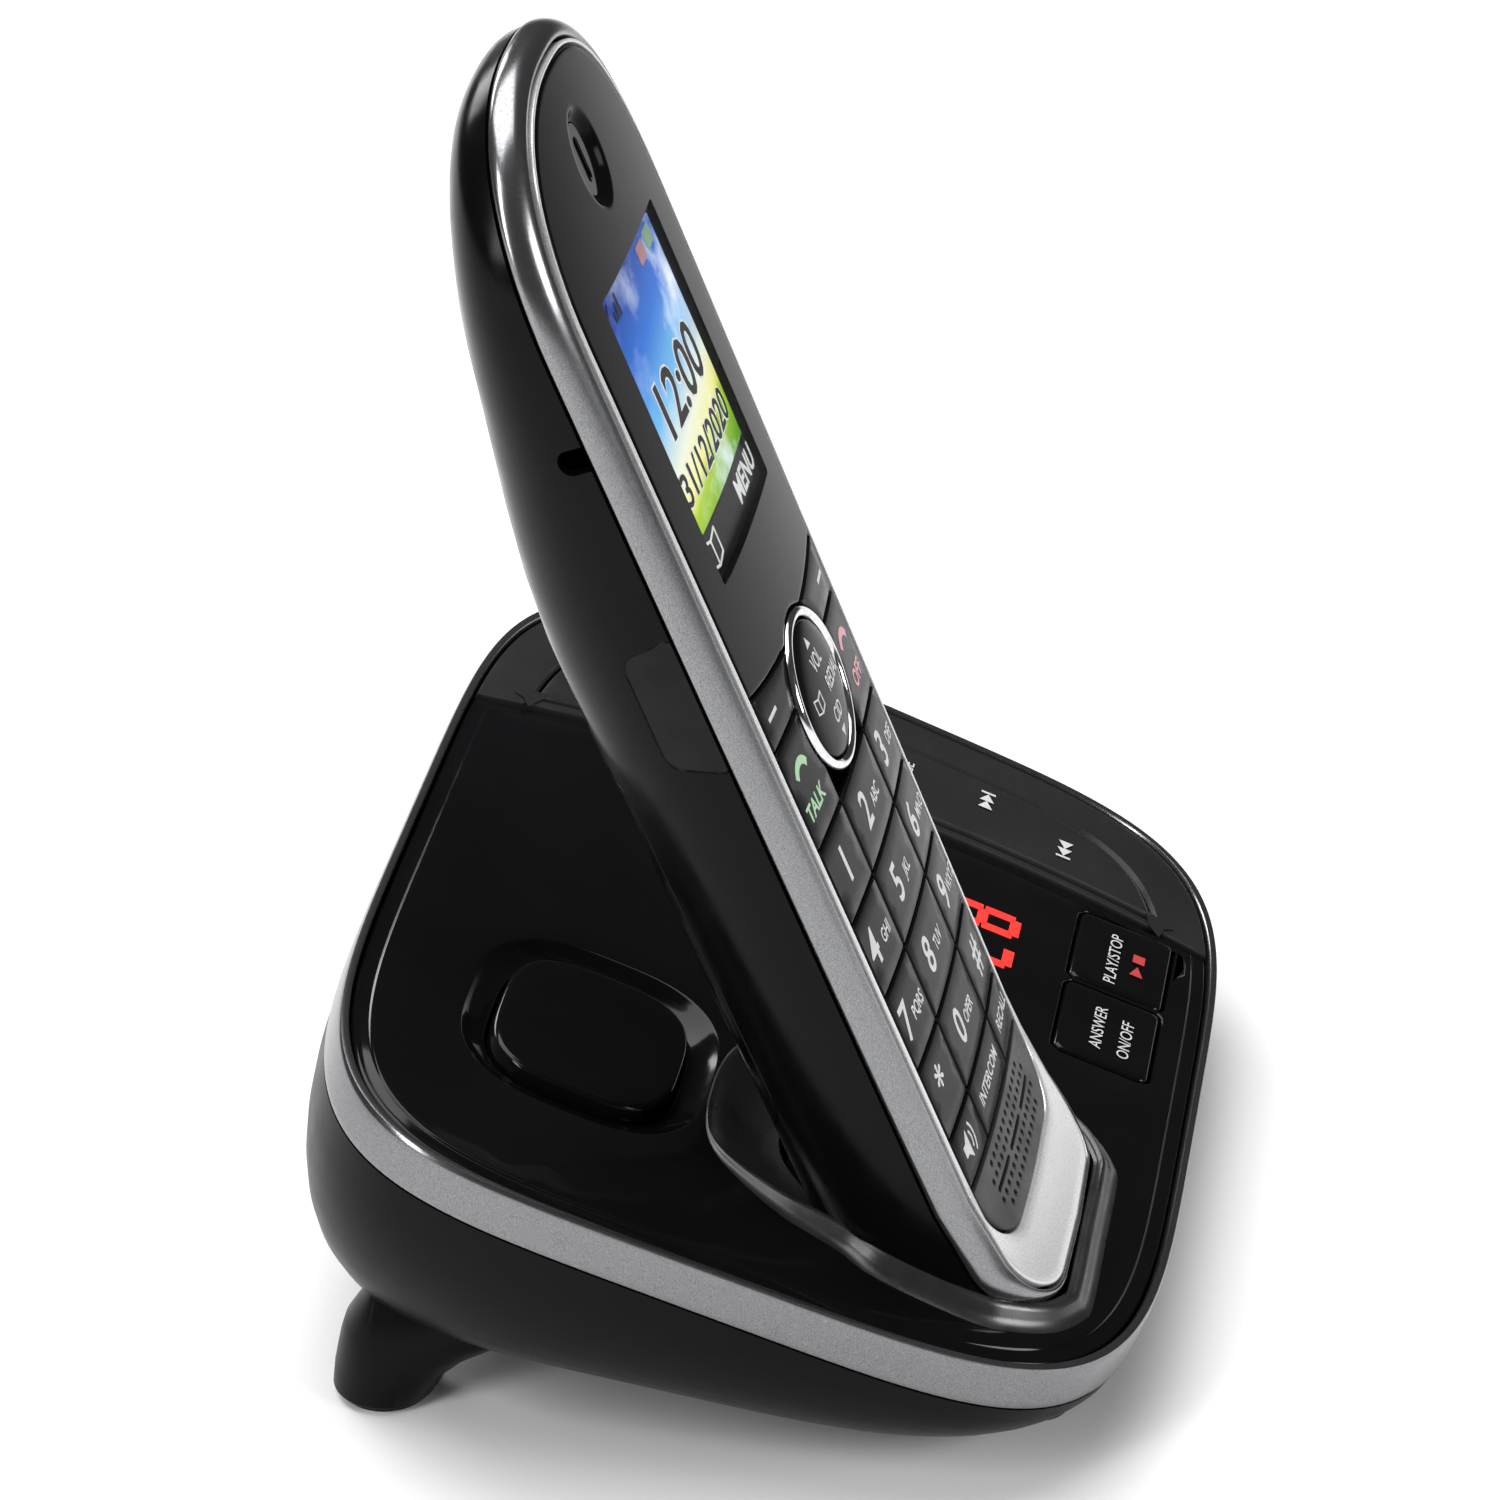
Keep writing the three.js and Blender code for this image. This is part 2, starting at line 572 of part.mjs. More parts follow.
function rearFoot(side) {
  const { x, y, bottom, top, height } = REAR_FOOT;
  return upright(disc(side * x, y, 1.2, height, bottom, top, 20));
}
const cavity = bowl(SHELL, 4);
const DC = { x: 18, z: 32, halfX: 5, halfZ: 5, boreX: 3, boreZ: 3 };
const LINE = { x: 34, z: 32, halfX: 6.5, halfZ: 5, boreX: 4.8, boreZ: 3.4 };
const JACK_BACK = 48.2;
const jackHole = ({ x, z, boreX, boreZ }) =>
  upright(box(x - boreX, JACK_BACK - 2, z - boreZ, x + boreX, 60, z + boreZ));
const SCREWS = [[-42, -22], [44, -22]];
const screwHole = ([x, y]) => disc(x, y, -40, -14, 2.2, 2.2, 14);
const screwPost = ([x, y]) => disc(x, y, underside(y) + 1, -18, 4.2, 4.2, 14);
const speakerSlots = [-8, -4, 0, 4, 8].map((dx) => box(28 + dx - 0.8, 8, -40, 28 + dx + 0.8, 28, -24));
const bowlShell = cut(bowl(0), cavity);
const feet = [-1, 1].map((side) => toSolid(rearFoot(side)).subtract(toSolid(cavity)));
const footed = feet.reduce((solid, foot) => solid.add(foot), toSolid(bowlShell));
const posts = SCREWS.map((spot) => common(screwPost(spot), bowl(0)));
node(base, 'base_lower_housing', cut(join(toGeometry(footed), ...posts), jackHole(DC), jackHole(LINE),
  ...SCREWS.map(screwHole), ...speakerSlots), satinBlack);

for (const [side, name] of [[-1, 'left'], [1, 'right']]) {
  const { x, y, bottom } = REAR_FOOT;
  node(base, `rear_foot_pad_${name}`, bare(upright(disc(side * x, y, 0, 0.9, bottom - 0.8))), rubberBlack);
  const front = FRONT_FOOT;
  const rubber = upright(disc(side * front.x, front.y, 0, 8, front.radius, front.radius, 18));
  node(base, `front_foot_${name}`, cut(rubber, bowl(-GAP, 4)), rubberBlack);
}

// Inside the base
node(base, 'base_pcb', box(2, -40, -6.4, 56, 36, -4.8), boardGreen);
node(base, 'counter_display', box(8.5, -28.5, -4.4, 35.5, -12, -2.2), redWindow);
node(base, 'base_speaker', disc(28, 18, -23.4, -17.4, 13.5), coneBlack);

function portBlock({ x, z, halfX, halfZ, boreX, boreZ }) {
  const body = box(x - halfX, JACK_BACK - 12, z - halfZ, x + halfX, JACK_BACK, z + halfZ);
  const bore = box(x - boreX, JACK_BACK - 9, z - boreZ, x + boreX, JACK_BACK + 1, z + boreZ);
  return upright(cut(body, bore));
}
node(base, 'dc_jack', portBlock(DC), satinBlack);
node(base, 'line_jack', portBlock(LINE), satinBlack);

SCREWS.forEach(([x, y], i) => {
  node(base, `base_screw_${i + 1}`, bare(disc(x, y, underside(y) + 1.2, -15, 1.9, 1.9, 12)), steel);
});

for (const [side, name] of [[-1, 'left'], [1, 'right']]) {
  node(base, `base_contact_${name}`, pinBox(side, 0, PIN.bottom, PIN.top), contactMetal);
}

// ---- The whole: origin under the middle of the bounding box -------------------------------------

phone.updateMatrixWorld(true);
const bounds = new THREE.Box3().setFromObject(phone, true);
phone.position.set(-(bounds.min.x + bounds.max.x) / 2, -(bounds.min.y + bounds.max.y) / 2, -bounds.min.z);

export default phone;
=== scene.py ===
import math

import bmesh
import bpy
import numpy as np
from mathutils import Matrix, Vector
from mathutils.geometry import delaunay_2d_cdt


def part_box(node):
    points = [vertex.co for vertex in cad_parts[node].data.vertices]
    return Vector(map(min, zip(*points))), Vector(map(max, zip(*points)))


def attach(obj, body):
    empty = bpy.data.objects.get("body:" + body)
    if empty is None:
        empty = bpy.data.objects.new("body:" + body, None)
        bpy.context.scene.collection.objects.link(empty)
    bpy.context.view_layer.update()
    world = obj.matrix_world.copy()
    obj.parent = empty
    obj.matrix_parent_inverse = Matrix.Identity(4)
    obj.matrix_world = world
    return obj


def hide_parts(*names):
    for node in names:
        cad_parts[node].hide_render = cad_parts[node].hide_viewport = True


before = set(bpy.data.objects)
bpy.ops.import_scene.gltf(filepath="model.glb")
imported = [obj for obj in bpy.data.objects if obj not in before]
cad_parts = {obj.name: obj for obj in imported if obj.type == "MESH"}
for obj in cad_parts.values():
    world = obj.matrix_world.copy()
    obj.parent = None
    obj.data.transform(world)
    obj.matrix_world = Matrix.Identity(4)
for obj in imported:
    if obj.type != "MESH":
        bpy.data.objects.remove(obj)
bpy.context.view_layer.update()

# A cordless phone on its base. Shapes are written in millimetres, in the base's tilted frame or in the
# handset's own frame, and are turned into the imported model's frame in metres as each piece is made.
MM = 0.001
DEG = math.pi / 180

# ---- Frames -------------------------------------------------------------------------------------

BASE_TILT = 20
BASE_HEIGHT = 31.9
HANDSET_X = -31.6
HANDSET_Y = -36.85
HANDSET_LEAN = 48
REAR_FOOT_Y = 42                # the rear foot's place before the model is centred

pad_low, pad_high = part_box("rear_foot_pad_left")
CENTRING = (pad_low.y + pad_high.y) / 2 / MM - REAR_FOOT_Y
WORLD = Matrix.Translation((0, CENTRING, 0))
BASE = WORLD @ Matrix.Translation((0, 0, BASE_HEIGHT)) @ Matrix.Rotation(BASE_TILT * DEG, 4, "X")
HANDSET = BASE @ Matrix.Translation((HANDSET_X, HANDSET_Y, 0)) @ Matrix.Rotation(HANDSET_LEAN * DEG, 4, "X")

# ---- Camera, light and floor --------------------------------------------------------------------

CAMERA_AZIMUTH, CAMERA_ELEVATION = -80.4, 29.87
CAMERA_PLACE = (-563.6, -88.5, 389.9)
CAMERA_LENS = 132
FLOOR_HALF = 6                  # metres


def make_camera():
    azimuth, elevation = CAMERA_AZIMUTH * DEG, CAMERA_ELEVATION * DEG
    back = Vector((math.sin(azimuth) * math.cos(elevation), -math.cos(azimuth) * math.cos(elevation),
                   math.sin(elevation)))
    data = bpy.data.cameras.new("camera")
    data.lens = CAMERA_LENS
    data.sensor_width = 36
    camera = bpy.data.objects.new("camera", data)
    x, y, z = CAMERA_PLACE
    camera.location = Vector((x, y + CENTRING, z)) * MM
    camera.rotation_mode = "QUATERNION"
    camera.rotation_quaternion = (-back).to_track_quat("-Z", "Y")
    bpy.context.scene.collection.objects.link(camera)
    bpy.context.scene.camera = camera


def make_light(name, at, target, size, power):
    data = bpy.data.lights.new(name, "AREA")
    data.shape = "RECTANGLE"
    data.size, data.size_y = size
    data.energy = power
    light = bpy.data.objects.new(name, data)
    light.location = at
    light.rotation_mode = "QUATERNION"
    light.rotation_quaternion = (Vector(target) - Vector(at)).to_track_quat("-Z", "Y")
    bpy.context.scene.collection.objects.link(light)


def make_studio():
    scene = bpy.context.scene
    scene.view_settings.view_transform = "Standard"
    world = bpy.data.worlds.new("studio")
    world.use_nodes = True
    world.node_tree.nodes["Background"].inputs["Color"].default_value = (0.05, 0.05, 0.052, 1)
    scene.world = world
    make_light("overhead", (0.35, 0.3, 1.7), (0.1, 0.1, 0), (1.6, 1.6), 36)
    make_light("left_card", (-0.75, 0.55, 0.6), (0, 0, 0.07), (0.22, 0.9), 6.5)
    make_light("front_card", (-0.35, -0.95, 0.5), (0, 0, 0.05), (0.5, 0.35), 6)
    make_light("rear_card", (0.75, 0.75, 0.55), (0, 0, 0.06), (0.6, 0.3), 5)
    floor_mesh = bpy.data.meshes.new("floor")
    corners = rectangle(-FLOOR_HALF, -FLOOR_HALF, FLOOR_HALF, FLOOR_HALF)
    floor_mesh.from_pydata([(x, y, 0) for x, y in corners], [], [(0, 1, 2, 3)])
    floor = bpy.data.objects.new("floor", floor_mesh)
    floor.data.materials.append(plain_floor())
    scene.collection.objects.link(floor)


# ---- Materials ----------------------------------------------------------------------------------


class Nodes:
    """A material's node tree with short calls for what the finishes here need."""

    def __init__(self, name):
        self.material = bpy.data.materials.new(name)
        self.material.use_nodes = True
        self.tree = self.material.node_tree
        self.shader = self.tree.nodes["Principled BSDF"]
        self.place = self.tree.nodes.new("ShaderNodeTexCoord").outputs["Object"]

    def set(self, **values):
        for key, value in values.items():
            self.shader.inputs[key.replace("_", " ")].default_value = value

    def link(self, source, name):
        self.tree.links.new(source, self.shader.inputs[name])

    def add(self, kind, values, output, **settings):
        """A new node with its sockets set or linked; gives one of its outputs."""
        node = self.tree.nodes.new("ShaderNode" + kind)
        for key, value in settings.items():
            setattr(node, key, value)
        for name, value in values.items():
            if isinstance(value, bpy.types.NodeSocket):
                self.tree.links.new(value, node.inputs[name])
            else:
                node.inputs[name].default_value = value
        return node.outputs[output]

    def noise(self, scale, detail=2, roughness=0.5):
        values = {"Vector": self.place, "Scale": scale, "Detail": detail, "Roughness": roughness}
        return self.add("TexNoise", values, "Fac")

    def ramp(self, source, stops):
        node = self.tree.nodes.new("ShaderNodeValToRGB")
        self.tree.links.new(source, node.inputs["Fac"])
        elements = node.color_ramp.elements
        while len(elements) < len(stops):
            elements.new(0.5)
        for element, (position, color) in zip(elements, stops):
            element.position = position
            element.color = (*color, 1) if len(color) == 3 else color
        return node.outputs["Color"]

    def spread(self, source, low, high, from_low=0.3, from_high=0.7):
        values = {"Value": source, "From Min": from_low, "From Max": from_high, "To Min": low,
                  "To Max": high}
        return self.add("MapRange", values, "Result")

    def bump(self, source, strength, distance):
        values = {"Height": source, "Strength": strength, "Distance": distance}
        self.link(self.add("Bump", values, "Normal"), "Normal")


GRAIN_HEIGHT, FLAKE_HEIGHT = 0.00002, 0.00003   # metres


def plastic(name, color, roughness, grain=0.0, grain_scale=2500, specular=0.4, coat=0.0, spread=0.25):
    """Moulded plastic: a faint unevenness of gloss, a trace of tone, and the mould's own grain."""
    n = Nodes(name)
    tone = n.noise(60, 3)
    n.link(n.ramp(tone, [(0.3, [c * 0.86 for c in color]), (0.7, [c * 1.14 for c in color])]), "Base Color")
    n.link(n.spread(n.noise(220, 4), roughness * (1 - spread), roughness * (1 + spread)), "Roughness")
    n.set(Specular_IOR_Level=specular, Coat_Weight=coat)
    if grain:
        n.bump(n.noise(grain_scale, 2), grain, GRAIN_HEIGHT)
    return n.material


def lacquer(name, dark, light, metallic, roughness, flake=0.12, scale=11000):
    """Silver lacquer: fine metal flakes that vary in tone and tilt."""
    n = Nodes(name)
    flakes = n.noise(scale, 1)
    n.link(n.ramp(flakes, [(0.35, dark), (0.65, light)]), "Base Color")
    n.link(n.spread(n.noise(scale * 0.7, 1), roughness * 0.85, roughness * 1.15), "Roughness")
    n.set(Metallic=metallic)
    n.bump(flakes, flake, FLAKE_HEIGHT)
    return n.material


def ink(name, color, glow=0.0):
    """Printed legend, slightly uneven in density."""
    n = Nodes(name)
    density = n.noise(3000, 2)
    n.link(n.ramp(density, [(0.25, [c * 0.85 for c in color]), (0.6, color)]), "Base Color")
    n.set(Roughness=0.45, Emission_Strength=glow, Emission_Color=(*color, 1))
    return n.material


def plain_floor():
    n = Nodes("floor")
    n.link(n.ramp(n.noise(4, 2), [(0.3, (0.86, 0.86, 0.86)), (0.7, (0.88, 0.88, 0.88))]), "Base Color")
    n.set(Roughness=0.9, Specular_IOR_Level=0.1)
    return n.material


# ---- Mesh helpers -------------------------------------------------------------------------------


class Shape:
    """Points and faces gathered in millimetres."""

    def __init__(self):
        self.points = []
        self.faces = []

    def ring(self, points):
        start = len(self.points)
        self.points.extend(tuple(float(c) for c in p) for p in points)
        return list(range(start, len(self.points)))

    def bridge(self, a, b, closed=True):
        count = len(a)
        for i in range(count if closed else count - 1):
            j = (i + 1) % count
            self.faces.append((a[i], a[j], b[j], b[i]))

    def loft(self, rings, around=False, ends=True):
        made = [self.ring(r) for r in rings]
        for a, b in zip(made, made[1:]):
            self.bridge(a, b)
        if around:
            self.bridge(made[-1], made[0])
        elif ends:
            self.faces.append(tuple(made[0]))
            self.faces.append(tuple(made[-1]))
        return made

    def fill(self, loops, height, spacing):
        """Triangles between loops of existing points, with points of its own between them."""
        flat = [[(self.points[i][0], self.points[i][1]) for i in loop] for loop in loops]
        arrays = [np.array(loop) for loop in flat]
        seeds = grid_points(arrays, spacing) if spacing else np.zeros((0, 2))
        ids = [i for loop in loops for i in loop]
        coords = [c for loop in flat for c in loop]
        edges = []
        start = 0
        for loop in flat:
            count = len(loop)
            edges += [(start + i, start + (i + 1) % count) for i in range(count)]
            start += count
        for x, y in seeds:
            ids.append(len(self.points))
            self.points.append((x, y, height(x, y)))
            coords.append((x, y))
        out = delaunay_2d_cdt([Vector(c) for c in coords], edges, [], 0, 1e-7)
        verts, triangles, origins = out[0], out[2], out[3]
        mapped = []
        for v, origin in zip(verts, origins):
            if origin:
                mapped.append(ids[origin[0]])
            else:
                mapped.append(len(self.points))
                self.points.append((v.x, v.y, height(v.x, v.y)))
        centres = np.array([[sum(verts[i].x for i in t) / 3, sum(verts[i].y for i in t) / 3]
                            for t in triangles])
        keep = inside(centres, arrays)
        self.faces += [tuple(mapped[i] for i in t) for t, k in zip(triangles, keep) if k]


def inside(points, loops):
    """Whether each point is within the first loop and outside the others, by crossings."""
    crossings = np.zeros(len(points), int)
    px, py = points[:, 0][:, None], points[:, 1][:, None]
    for loop in loops:
        x0, y0 = loop[:, 0][None], loop[:, 1][None]
        x1, y1 = np.roll(loop[:, 0], -1)[None], np.roll(loop[:, 1], -1)[None]
        spans = (y0 > py) != (y1 > py)
        with np.errstate(divide="ignore", invalid="ignore"):
            at = x0 + (py - y0) * (x1 - x0) / (y1 - y0)
        crossings += (spans & (px < at)).sum(1)
    return crossings % 2 == 1


def grid_points(loops, spacing):
    """A triangular grid inside the loops, clear of their edges."""
    low, high = loops[0].min(0), loops[0].max(0)
    rows = []
    for r, y in enumerate(np.arange(low[1], high[1], spacing * 0.87)):
        xs = np.arange(low[0] + (r % 2) * spacing / 2, high[0], spacing)
        rows.append(np.stack([xs, np.full(len(xs), y)], 1))
    points = np.vstack(rows)
    points = points[inside(points, loops)]
    for loop in loops:
        a, b = loop, np.roll(loop, -1, 0)
        d = b - a
        t = ((points[:, None] - a) * d).sum(2) / np.maximum((d * d).sum(1), 1e-12)
        near = a + d * np.clip(t, 0, 1)[..., None]
        points = points[(np.linalg.norm(points[:, None] - near, axis=2).min(1) > spacing * 0.45)]
    return points


def grown(loop, amount):
    """A loop that runs anticlockwise, grown outward; a negative amount shrinks it."""
    loop = np.array(loop, float)
    ahead = np.roll(loop, -1, 0) - loop
    ahead /= np.maximum(np.linalg.norm(ahead, axis=1), 1e-9)[:, None]
    behind = np.roll(ahead, 1, 0)
    n1 = np.stack([behind[:, 1], -behind[:, 0]], 1)
    n2 = np.stack([ahead[:, 1], -ahead[:, 0]], 1)
    bisector = (n1 + n2) / np.maximum(1 + (n1 * n2).sum(1), 0.35)[:, None]
    return loop + bisector * amount


def rounded(corners, radius, steps=5):
    """A polygon with its corners rounded; a corner may bring its own radius as a third number."""
    out = []
    count = len(corners)
    for i, corner in enumerate(corners):
        p = np.array(corner[:2], float)
        r = corner[2] if len(corner) > 2 else radius
        a = np.array(corners[i - 1][:2], float) - p
        b = np.array(corners[(i + 1) % count][:2], float) - p
        la, lb = np.linalg.norm(a), np.linalg.norm(b)
        a, b = a / la, b / lb
        half = math.acos(np.clip(np.dot(a, b), -1, 1)) / 2
        if r <= 0 or half > 88 * DEG:
            out.append(p)
            continue
        reach = min(r / math.tan(half), la * 0.48, lb * 0.48)
        r = reach * math.tan(half)
        centre = p + (a + b) / np.linalg.norm(a + b) * r / math.sin(half)
        start, end = p + a * reach - centre, p + b * reach - centre
        sweep = math.pi - 2 * half
        sign = 1 if start[0] * end[1] - start[1] * end[0] > 0 else -1
        for k in range(steps + 1):
            t = sign * sweep * k / steps
            c, s = math.cos(t), math.sin(t)
            out.append(centre + np.array([c * start[0] - s * start[1], s * start[0] + c * start[1]]))
    return np.array(out)


def densified(loop, step):
    """The same loop with its long sides divided."""
    out = []
    for a, b in zip(loop, np.roll(loop, -1, 0)):
        parts = max(1, int(math.ceil(np.linalg.norm(b - a) / step)))
        out += [a + (b - a) * k / parts for k in range(parts)]
    return np.array(out)


def ellipse(x, y, half_x, half_y, count, power=2.0):
    out = []
    for i in range(count):
        c, s = math.cos(2 * math.pi * i / count), math.sin(2 * math.pi * i / count)
        out.append((x + half_x * math.copysign(abs(c) ** (2 / power), c),
                    y + half_y * math.copysign(abs(s) ** (2 / power), s)))
    return np.array(out)


def level(x, y):
    return 0.0


def plate(outer, holes, thick, edge, height=level, spacing=2.0):
    """A plate that follows height(x, y): holes are (loop, edge) pairs, edges are (inset, drop) pairs."""
    def below(x, y):
        return height(x, y) - thick

    shape = Shape()
    tops, bottoms = [], []
    for loop, profile, sign in [(outer, edge, -1)] + [(h, e, 1) for h, e in holes]:
        rings = [shape.ring([(x, y, below(x, y)) for x, y in loop])]
        for inset, drop in profile:
            moved = grown(loop, sign * inset)
            rings.append(shape.ring([(x, y, height(x, y) - drop) for x, y in moved]))
        for a, b in zip(rings, rings[1:]):
            shape.bridge(a, b)
        bottoms.append(rings[0])
        tops.append(rings[-1])
    shape.fill(tops, height, spacing)
    shape.fill(bottoms, below, 0)
    return shape


def placed(name, shape, place):
    """A shape as a mesh in its place, in metres."""
    mesh = bpy.data.meshes.new(name)
    points = np.array(shape.points, float)
    points = (points @ np.array(place.to_3x3()).T + np.array(place.translation)) * MM
    mesh.from_pydata(points.tolist(), [], shape.faces)
    return mesh


def face_outward(mesh, merge=False):
    bm = bmesh.new()
    bm.from_mesh(mesh)
    if merge:
        bmesh.ops.remove_doubles(bm, verts=bm.verts, dist=1e-7)
    bmesh.ops.recalc_face_normals(bm, faces=bm.faces)
    bm.to_mesh(mesh)
    bm.free()


def shade(mesh, sharp):
    """Smooth shading, but for edges sharper than an angle in degrees."""
    mesh.shade_smooth()
    mesh.set_sharp_from_angle(angle=sharp * DEG)


def make(name, shape, place, body, material, replaces=(), sharp=40):
    """A Blender piece from a shape, riding on its body and closed."""
    mesh = placed(name, shape, place)
    mesh.validate()
    face_outward(mesh, merge=True)
    shade(mesh, sharp)
    piece = bpy.data.objects.new(name + "_detailed" if replaces else name, mesh)
    bpy.context.scene.collection.objects.link(piece)
    mesh.materials.append(material)
    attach(piece, body)
    if replaces:
        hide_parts(*replaces)
    return piece


def cutter(name, shape, place):
    """A solid used only for a cut; it is removed afterwards."""
    mesh = placed(name, shape, place)
    face_outward(mesh)
    tool = bpy.data.objects.new(name, mesh)
    bpy.context.scene.collection.objects.link(tool)
    return tool


def carve(piece, tool, operation="DIFFERENCE", sharp=40):
    """Applies a boolean to a piece and removes the tool."""
    modifier = piece.modifiers.new("carve", "BOOLEAN")
    modifier.operation = operation
    modifier.solver = "EXACT"
    modifier.object = tool
    depsgraph = bpy.context.evaluated_depsgraph_get()
    depsgraph.update()
    mesh = bpy.data.meshes.new_from_object(piece.evaluated_get(depsgraph))
    piece.modifiers.clear()
    materials = list(piece.data.materials)
    piece.data = mesh
    mesh.materials.clear()
    for material in materials:
        mesh.materials.append(material)
    shade(mesh, sharp)
    bpy.data.objects.remove(tool)


def prism(loop, low, high):
    """A straight prism of a loop between two heights."""
    shape = Shape()
    shape.loft([[(x, y, low) for x, y in loop], [(x, y, high) for x, y in loop]])
    return shape


def rectangle(x0, y0, x1, y1):
    return [(x0, y0), (x1, y0), (x1, y1), (x0, y1)]


def block(x0, y0, z0, x1, y1, z1):
    return prism(rectangle(x0, y0, x1, y1), z0, z1)


# ---- Base shapes --------------------------------------------------------------------------------

PANEL_HALF = (64.6, 50.4)
PANEL_POWER = 4.6
PANEL_TAPER = 0.045             # the outline is wider towards the back
ARC_CENTRE = (-137, -11.6)      # the seam between the gloss panel and the side area
ARC_RADIUS = 178
STRIP_INSET = 4.3
RIM_WIDTH = 1.6
RIM_DEPTH = 5.8
HOUSING_TUCK = 12
HOUSING_COUNT = 128             # points round the housing
REAR_FOOT_X = 50.5
DC_JACK_X, LINE_JACK_X, JACK_Z = 18, 34, 32
PLAY_SPAN, ANSWER_SPAN = (20.6, 36.4), (4, 19.8)
BUTTON_FRONT, BUTTON_BACK = -44.9, -32.2
BUTTON_INK, STRIP_INK = 0.23, 0.24      # heights of the legends there
PANEL_SPACING = 5
UNDERSIDE = (-25.2, -0.19)      # the underside's height at y = 0, and its slope
LOCATOR = dict(x=-31, y=21.8, half_x=12.5, half_y=11.6, count=96, power=3.2)


def panel_outline(grow, power=PANEL_POWER, count=192):
    out = []
    for i in range(count):
        c, s = math.cos(2 * math.pi * i / count), math.sin(2 * math.pi * i / count)
        y = (PANEL_HALF[1] + grow) * math.copysign(abs(s) ** (2 / power), s)
        x = (PANEL_HALF[0] + grow + PANEL_TAPER * y) * math.copysign(abs(c) ** (2 / power), c)
        out.append((x, y))
    return np.array(out)


def split_by_arc(loop, gap):
    """The parts of a loop to the left and to the right of the arc, a gap apart."""
    centre = np.array(ARC_CENTRE)
    parts = []
    for radius, sign in ((ARC_RADIUS - gap / 2, 1), (ARC_RADIUS + gap / 2, -1)):
        reach = sign * (radius - np.linalg.norm(loop - centre, axis=1))
        start = next(i for i in range(len(loop)) if reach[i] > 0 >= reach[i - 1])
        run = [loop[(start + k) % len(loop)] for k in range(int((reach > 0).sum()))]
        ends = []
        for kept, lost in ((start, start - 1), (start + len(run) - 1, start + len(run))):
            kept, lost = kept % len(loop), lost % len(loop)
            t = reach[kept] / (reach[kept] - reach[lost])
            ends.append(loop[kept] + (loop[lost] - loop[kept]) * t)
        angles = [math.atan2(*(e - centre)[::-1]) for e in ends]
        arc = [centre + radius * np.array([math.cos(a), math.sin(a)])
               for a in np.linspace(angles[1], angles[0], 48)]
        parts.append(np.array(run + arc))
    return parts


def locator_loop(grow):
    spot = LOCATOR
    return ellipse(spot["x"], spot["y"], spot["half_x"] + grow, spot["half_y"] + grow, spot["count"],
                   spot["power"])


def button_loop(left, right, grow=0.0):
    return grown(rounded(rectangle(left, BUTTON_FRONT, right, BUTTON_BACK), 1.3, 6), grow)


# Half of the cradle's collar, from the back round to the front: offset from the handset's centre
# line, y, and height. The other half mirrors it.
COLLAR_TOP = [(0, 6.2, 0.1), (4.5, 6, 0.1), (9, 5, 0.2), (12.5, 2.4, 0.6), (15.3, -2.7, 1.1),
              (16.9, -7.2, 1.5), (18.9, -14.2, 2), (21, -18.8, 2.2), (21.9, -29.5, 2.3),
              (20.9, -33.8, 2.2), (18.4, -38, 2), (14.9, -40.4, 1.8), (12, -41, 1.6), (0, -41, 1.6)]
COLLAR_LIP = [(0, -3, -1.7), (3.5, -3.3, -1.7), (6.8, -4.4, -1.5), (10.4, -7, -1.1), (13.6, -10.2, -0.5),
              (15.8, -12.6, 0.2), (17.6, -16, 1), (20, -19.5, 1.8), (21.4, -29.5, 1.9), (20.4, -33.5, 1.9),
              (18, -37.5, 1.7), (14.7, -39.8, 1.5), (12, -40.4, 1.3), (0, -40.4, 1.3)]


def collar_loop(half, count=96):
    """A smooth closed loop through half a row of points and its mirror, as (x, y, z) rows."""
    rows = np.array(half, float)
    mirrored = rows[1:-1][::-1] * [-1, 1, 1]
    loop = np.vstack([rows, mirrored])
    total = len(loop)
    out = []
    for k in range(count):
        t = k / count * total
        i = int(t)
        u = t - i
        p0, p1, p2, p3 = (loop[(i + j) % total] for j in (-1, 0, 1, 2))
        out.append(0.5 * (2 * p1 + (p2 - p0) * u + (2 * p0 - 5 * p1 + 4 * p2 - p3) * u * u
                          + (3 * p1 - p0 - 3 * p2 + p3) * u ** 3))
    out = np.array(out)[::-1]
    out[:, 0] += HANDSET_X
    return out


def with_height(loop, z):
    return np.column_stack([loop, np.full(len(loop), z) if np.isscalar(z) else z])


# ---- Handset shapes -----------------------------------------------------------------------------

TOP, BOTTOM = 157.5, -1
SHOULDER = 130
HALF_TOP, HALF_BOTTOM = 24.6, 22.3
FACE_CURVE = 0.00224            # how much the face falls off across its width
CHIN_START, CHIN_RADIUS = 18, 46
SEAM_Z = -3.7
FACE_INSET = 3.7
FACE_BOTTOM = 8.3
KEY_COLUMN = 8.1
KEY_ROWS = [17.9, 24.8, 34.7, 44.8, 54.8, 64.8]
SOFTKEY_SPLIT, SOFTKEY_TOP = 77.8, 88
KEY_GAP = 0.14                  # from a key to the edge of its cell
NAV_Y, NAV_RING, NAV_HOLE, NAV_BUTTON = 75, 9.6, 8.3, 8
EAR_Y = 142.7
GAP = 0.3


